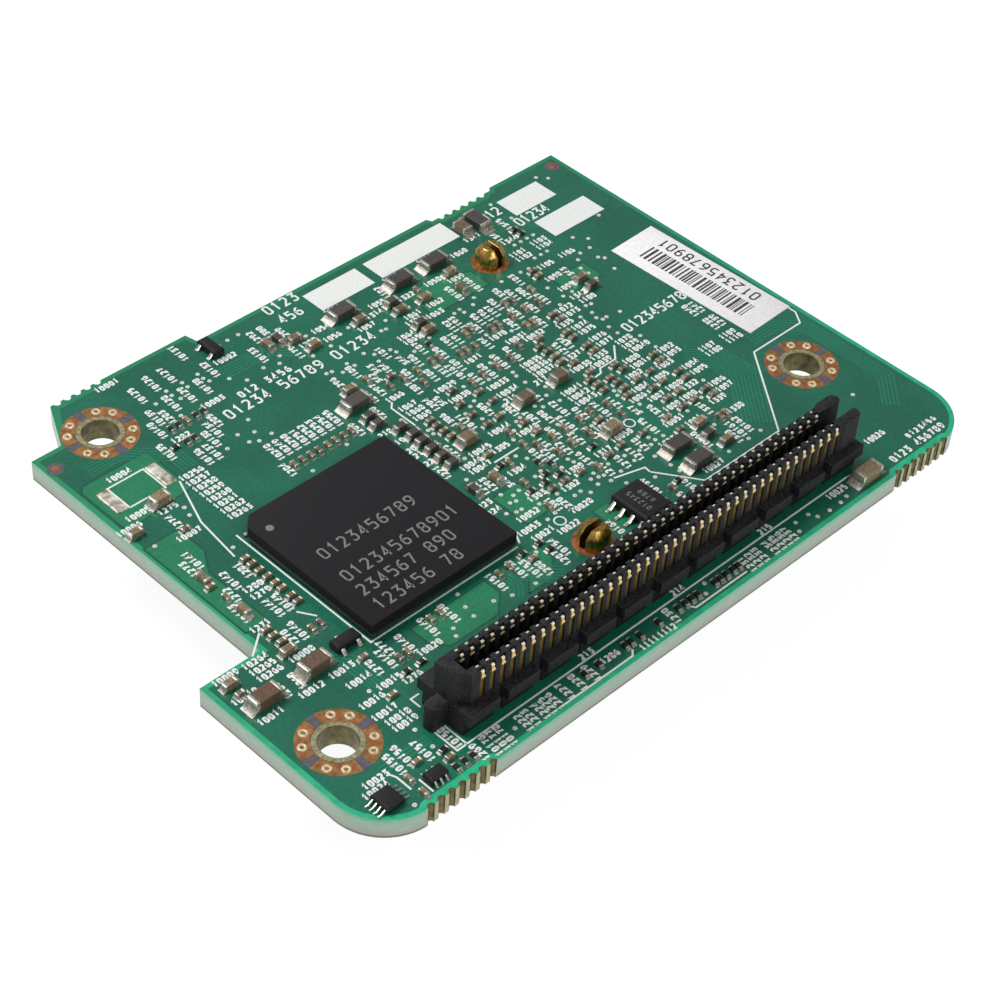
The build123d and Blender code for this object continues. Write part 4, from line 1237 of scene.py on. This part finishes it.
def print_legend():
    """All print on the board, as one layer of ink."""
    ink = bmesh.new()
    print_drawing(ink)
    number = 1
    for (digits, turn), places in part_numbers.items():
        for place in places:
            print_number(ink, number, digits, on_board(*place), turn)
            number += 1
    for first, step, count, turn in number_stacks:
        for i in range(count):
            place = on_board(first[0] + step[0] * i, first[1] + step[1] * i)
            print_number(ink, number, 5, place, turn)
            number += 1
    # The other parts get theirs wherever there is room
    digits = 4
    chance = random.Random(7)
    everything = [box for boxes in small_parts.values() for box in boxes]
    for low, high in sorted(everything, key=lambda box: (round(box[0].x / MM / 4), box[0].y)):
        for place, turn in beside(low, high, digits, chance.random() < 0.5):
            x_from, x_to, y_from, y_to = number_box(place, digits, turn)
            play = margin / 2
            if room.free(x_from + play, x_to - play, y_from + play, y_to - play):
                print_number(ink, number, digits, place, turn)
                number += 1
                break
    return ink


show("legend_print", print_legend(), ink_finish)

# How far the marks on chips and on the label lie above them
chip_mark_lift = 0.006 * MM
label_mark_lift = 0.01 * MM


def chip_marks():
    """Laser marks on the network chip: a pin-one dimple and rows of plain numbers."""
    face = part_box("chip_mould_cap")[1].z
    mesh = bmesh.new()
    level = face + chip_mark_lift
    for text, place in (("0123456789", (-18.4, -3.9)), ("012345678901", (-17.5, -7.6)),
                        ("234567 890", (-18.9, -10.0)), ("123456 78", (-19.6, -12.4))):
        write_number(mesh, text, on_board(*place), 0, level, 1.35 * MM, 1.25 * MM, 0.2 * MM)
    whole_ring(mesh, on_board(-25.6, 2.2), 0.01 * MM, 0.42 * MM, face, level, 6)
    return mesh


show("network_chip_marks", chip_marks(), laser_finish)


def memory_chip_marks():
    """Two rows of plain numbers on the memory chip."""
    low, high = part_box("memory_chip_body")
    middle = ((low + high) / 2).xy
    digit = 0.55 * MM
    mesh = bmesh.new()
    for text, shift in (("012345", -digit), ("6789", digit)):
        write_number(mesh, text, middle + Vector((shift, 0)), 90, high.z + chip_mark_lift,
                     digit, digit, 0.09 * MM)
    return mesh


show("memory_chip_marks", memory_chip_marks(), laser_finish)


def label_marks():
    """Bars of random widths, which hold no code, on the barcode label."""
    mesh = bmesh.new()
    low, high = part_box("barcode_label")
    centre, level = ((low + high) / 2).xy, high.z + label_mark_lift
    # The label lies a little crooked. Its bars run from left to right, one above the other
    crooked = 2
    turn = Matrix.Rotation(math.radians(crooked), 2)
    left, right = -1.9 * MM, 0.6 * MM
    lowest, highest = -7.4 * MM, 7.0 * MM
    chance = random.Random(4)
    y = lowest
    while y < highest:
        width = chance.choice((0.12, 0.12, 0.24, 0.36)) * MM
        corners = [(left, y), (right, y), (right, y + width), (left, y + width)]
        mesh.faces.new([mesh.verts.new((*(centre + turn @ Vector(c)), level)) for c in corners])
        y += width + chance.choice((0.12, 0.2, 0.3)) * MM
    write_number(mesh, "012345678901", centre + turn @ Vector((2.0 * MM, 0.3 * MM)), 90 + crooked,
                 level, 1.35 * MM, 1.2 * MM, 0.22 * MM)
    return mesh


soften("label_stock", "barcode_label", paper_finish, 0.02 * MM, 1)
show("label_bars", label_marks(), print_finish)


# Vias

# A via's radius and height, and its hole as a share of its radius
land_via = (0.5 * MM, 0.1 * MM, 0.4)
small_via = (0.25 * MM, 0.06 * MM, 0.2)


def via_ring(radius, height, hole):
    """A tinned via: a low ring round its hole."""
    mesh = bmesh.new()
    steps = 10
    profile = [(1.0, 0.0), (0.88, 0.8), (0.68, 1.0), (hole * 1.2, 0.7), (hole, 0.0)]
    rows = [[mesh.verts.new((radius * r * math.cos(2 * math.pi * i / steps),
                             radius * r * math.sin(2 * math.pi * i / steps), height * z))
             for i in range(steps)] for r, z in profile]
    for outer, inner in zip(rows, rows[1:] + rows[:1]):
        join_rows(mesh, outer, inner)
    return mesh


def set_out_vias(name, size, spots, level, facing, finish):
    """Vias on one face, which stand up from it. The spots are (x, y, turn in degrees)."""
    shape = via_ring(*size)
    if facing < 0:
        over = Matrix.Rotation(math.pi, 3, "X")
        bmesh.ops.rotate(shape, cent=(0, 0, 0), matrix=over, verts=shape.verts)
    set_out_parts(name, [(x, y, level, turn) for x, y, turn in spots], shape, finish)


land_vias = []
for place in mounting_holes:
    spot = on_board(*place)
    for angle in via_angles:
        land_vias.append((spot.x + via_circle * math.cos(math.radians(angle)),
                          spot.y + via_circle * math.sin(math.radians(angle)), 0))
for side, level, facing in board_sides:
    set_out_vias("land_vias_" + side, land_via, land_vias, level + facing * land_lift, facing,
                 via_finish)

# Small tinned vias. The measured ones stand in rows: the first place, the step to the next one
# and how many
dot_rows = [
    ((-20.8, 31.1), (2.1, 0), 4), ((-20.8, 30.2), (2.1, 0), 4), ((-20.8, 28.9), (2.1, 0), 3),
    ((-20.8, 26.6), (2.1, 0), 4), ((-20.8, 25.7), (2.1, 0), 4), ((-11.5, 28.9), (1.5, 0), 5),
    ((30.4, 28.2), (0, -1.7), 3), ((38.3, 28.6), (1.0, -1.0), 2), ((33.1, 17.6), (1.2, -1.3), 2),
    ((27.0, 20.9), (1.0, 0), 4), ((27.0, 17.7), (1.0, 0), 3), ((31.6, 15.0), (1.6, 0), 2),
    ((18.0, -31.15), (4.6, 0), 2), ((15.4, -12.5), (2.1, 0), 2), ((12.6, -16.1), (0, -1.2), 2),
    ((-37.9, -31.4), (1.0, 0.0), 2), ((-7.0, -16.0), (0.6, -0.9), 3), ((37.9, -22.5), (-2.2, 1.1), 2),
    ((-33.9, -0.8), (0, -1.3), 2), ((-28.9, 10.4), (0.3, 1.2), 2), ((-16.0, 15.7), (0, 1.0), 1),
    ((-2.9, 24.0), (1.2, 0), 3), ((-11.2, 22.5), (2.6, 0.4), 3), ((38.6, 10.6), (0, -1.0), 1),
    ((29.6, 10.6), (0, 1.2), 3), ((1.6, -10.9), (0.85, 0), 5), ((1.6, -16.3), (0, -1.27), 4),
]
# The others crowd where they find room: from and to along X, the same along Y, and how many
# are tried
crowds = [(-5.5, 14.0, -13.8, -3.5, 420), (-5.5, 14.0, -3.5, 6.5, 240), (-5.0, 26.0, 6.5, 17.0, 260),
          (-5.0, 22.0, 17.0, 24.5, 60), (14.0, 26.0, -13.0, 6.5, 160), (-37.0, -28.0, -6.0, 14.0, 16),
          (-26.0, -8.0, -19.8, -15.0, 14), (-25.0, 24.0, -32.0, -29.8, 60), (-24.0, -6.0, 7.0, 25.0, 50),
          (27.0, 41.0, -9.0, 24.0, 26), (-34.0, -26.0, -30.0, -16.0, 20), (6.0, 24.0, -20.0, -14.0, 30)]


def dot_spots():
    """Places of the small vias that find room between the parts and the print."""
    chance = random.Random(11)
    wanted = [(first[0] + step[0] * i, first[1] + step[1] * i)
              for first, step, count in dot_rows for i in range(count)]
    for x_from, x_to, y_from, y_to, count in crowds:
        wanted += [(chance.uniform(x_from, x_to), chance.uniform(y_from, y_to)) for i in range(count)]
    found = []
    reach = 0.28 * MM
    for place in wanted:
        spot = on_board(*place)
        box = (spot.x - reach, spot.x + reach, spot.y - reach, spot.y + reach)
        if room.free(*box):
            room.take(*box)
            found.append((spot.x, spot.y, chance.uniform(0, 360)))
    return found


dots = dot_spots()
for side, level, facing in board_sides:
    set_out_vias("board_vias" if side == "top" else "board_vias_underside", small_via, dots,
                 level + facing * plane_lift, facing, dot_finish)


# Stage

def white_floor():
    """A pale floor that the camera sees as white, with the card's soft shadow kept."""
    material, tree, shader, place = new_finish("pale_floor", 0.9)
    shader.inputs["Base Color"].default_value = colour("#f4f4f4")
    path = add_node(tree, "ShaderNodeLightPath").outputs
    seen = path["Is Camera Ray"]
    for ray in ("Is Glossy Ray", "Is Transmission Ray"):
        either = add_node(tree, "ShaderNodeMath", {0: seen, 1: path[ray]}, operation="MAXIMUM")
        seen = either.outputs[0]
    # The rest of the floor's light is its own, so that the shadow shows
    share = add_node(tree, "ShaderNodeMath", {0: seen, 1: 0.8}, operation="MULTIPLY")
    white = add_node(tree, "ShaderNodeEmission", {"Color": (1, 1, 1, 1), "Strength": 1.15})
    mixed = add_node(tree, "ShaderNodeMixShader", {
        0: share.outputs[0], 1: shader.outputs["BSDF"], 2: white.outputs["Emission"]})
    tree.links.new(mixed.outputs["Shader"], tree.nodes["Material Output"].inputs["Surface"])
    mesh = bmesh.new()
    bmesh.ops.create_grid(mesh, x_segments=1, y_segments=1, size=2.0)
    floor = put_in("floor", plain_mesh("floor", mesh))
    floor.data.materials.append(material)
    floor.location.z = cad_box[0].z - 0.01 * MM


def soft_lamp(name, place, size, power):
    """A square lamp that looks at the card."""
    lamp = bpy.data.lights.new(name, "AREA")
    lamp.size = size
    lamp.energy = power
    thing = put_in(name, lamp)
    thing.location = place
    thing.rotation_euler = (-Vector(place)).to_track_quat("-Z", "Y").to_euler()


white_floor()
world = bpy.data.worlds.new("studio")
world.use_nodes = True
scene.world = world
# White to the camera, brighter in reflections than as light
ray = add_node(world.node_tree, "ShaderNodeLightPath").outputs
strength = add_node(world.node_tree, "ShaderNodeMath", {
    0: ray["Is Glossy Ray"], 1: 0.1, 2: 0.3}, operation="MULTIPLY_ADD")
strength = add_node(world.node_tree, "ShaderNodeMath", {
    0: ray["Is Camera Ray"], 1: 0.7, 2: strength.outputs[0]}, operation="MULTIPLY_ADD")
backdrop = world.node_tree.nodes["Background"]
backdrop.inputs["Color"].default_value = (1, 1, 1, 1)
world.node_tree.links.new(strength.outputs[0], backdrop.inputs["Strength"])
soft_lamp("overhead", (-0.14, 0.28, 0.5), 0.25, 2.5)
soft_lamp("from_the_front", (-0.12, -0.42, 0.42), 0.3, 1.1)

# Camera: solved from the board's corners in the photograph. Azimuth, elevation and roll are
# in degrees; the target lies on the board's face
azimuth, elevation, roll = math.radians(-47.816), math.radians(42.452), math.radians(4.404)
distance = 239.5 * MM
target = Vector((-4.22 * MM, -8.12 * MM, top))
back = Vector((math.sin(azimuth) * math.cos(elevation), -math.cos(azimuth) * math.cos(elevation),
               math.sin(elevation)))
level_right = Vector((math.cos(azimuth), math.sin(azimuth), 0))
level_up = back.cross(level_right)
right = level_right * math.cos(roll) + level_up * math.sin(roll)
up = level_up * math.cos(roll) - level_right * math.sin(roll)
lens = bpy.data.cameras.new("photograph")
lens.sensor_width = 36
lens.lens = 86.99
lens.clip_start = 0.01
camera = put_in("photograph", lens)
facing_camera = Matrix((right, up, back)).transposed().to_4x4()
camera.matrix_world = Matrix.Translation(target + back * distance) @ facing_camera
scene.camera = camera
scene.view_settings.view_transform = "Standard"
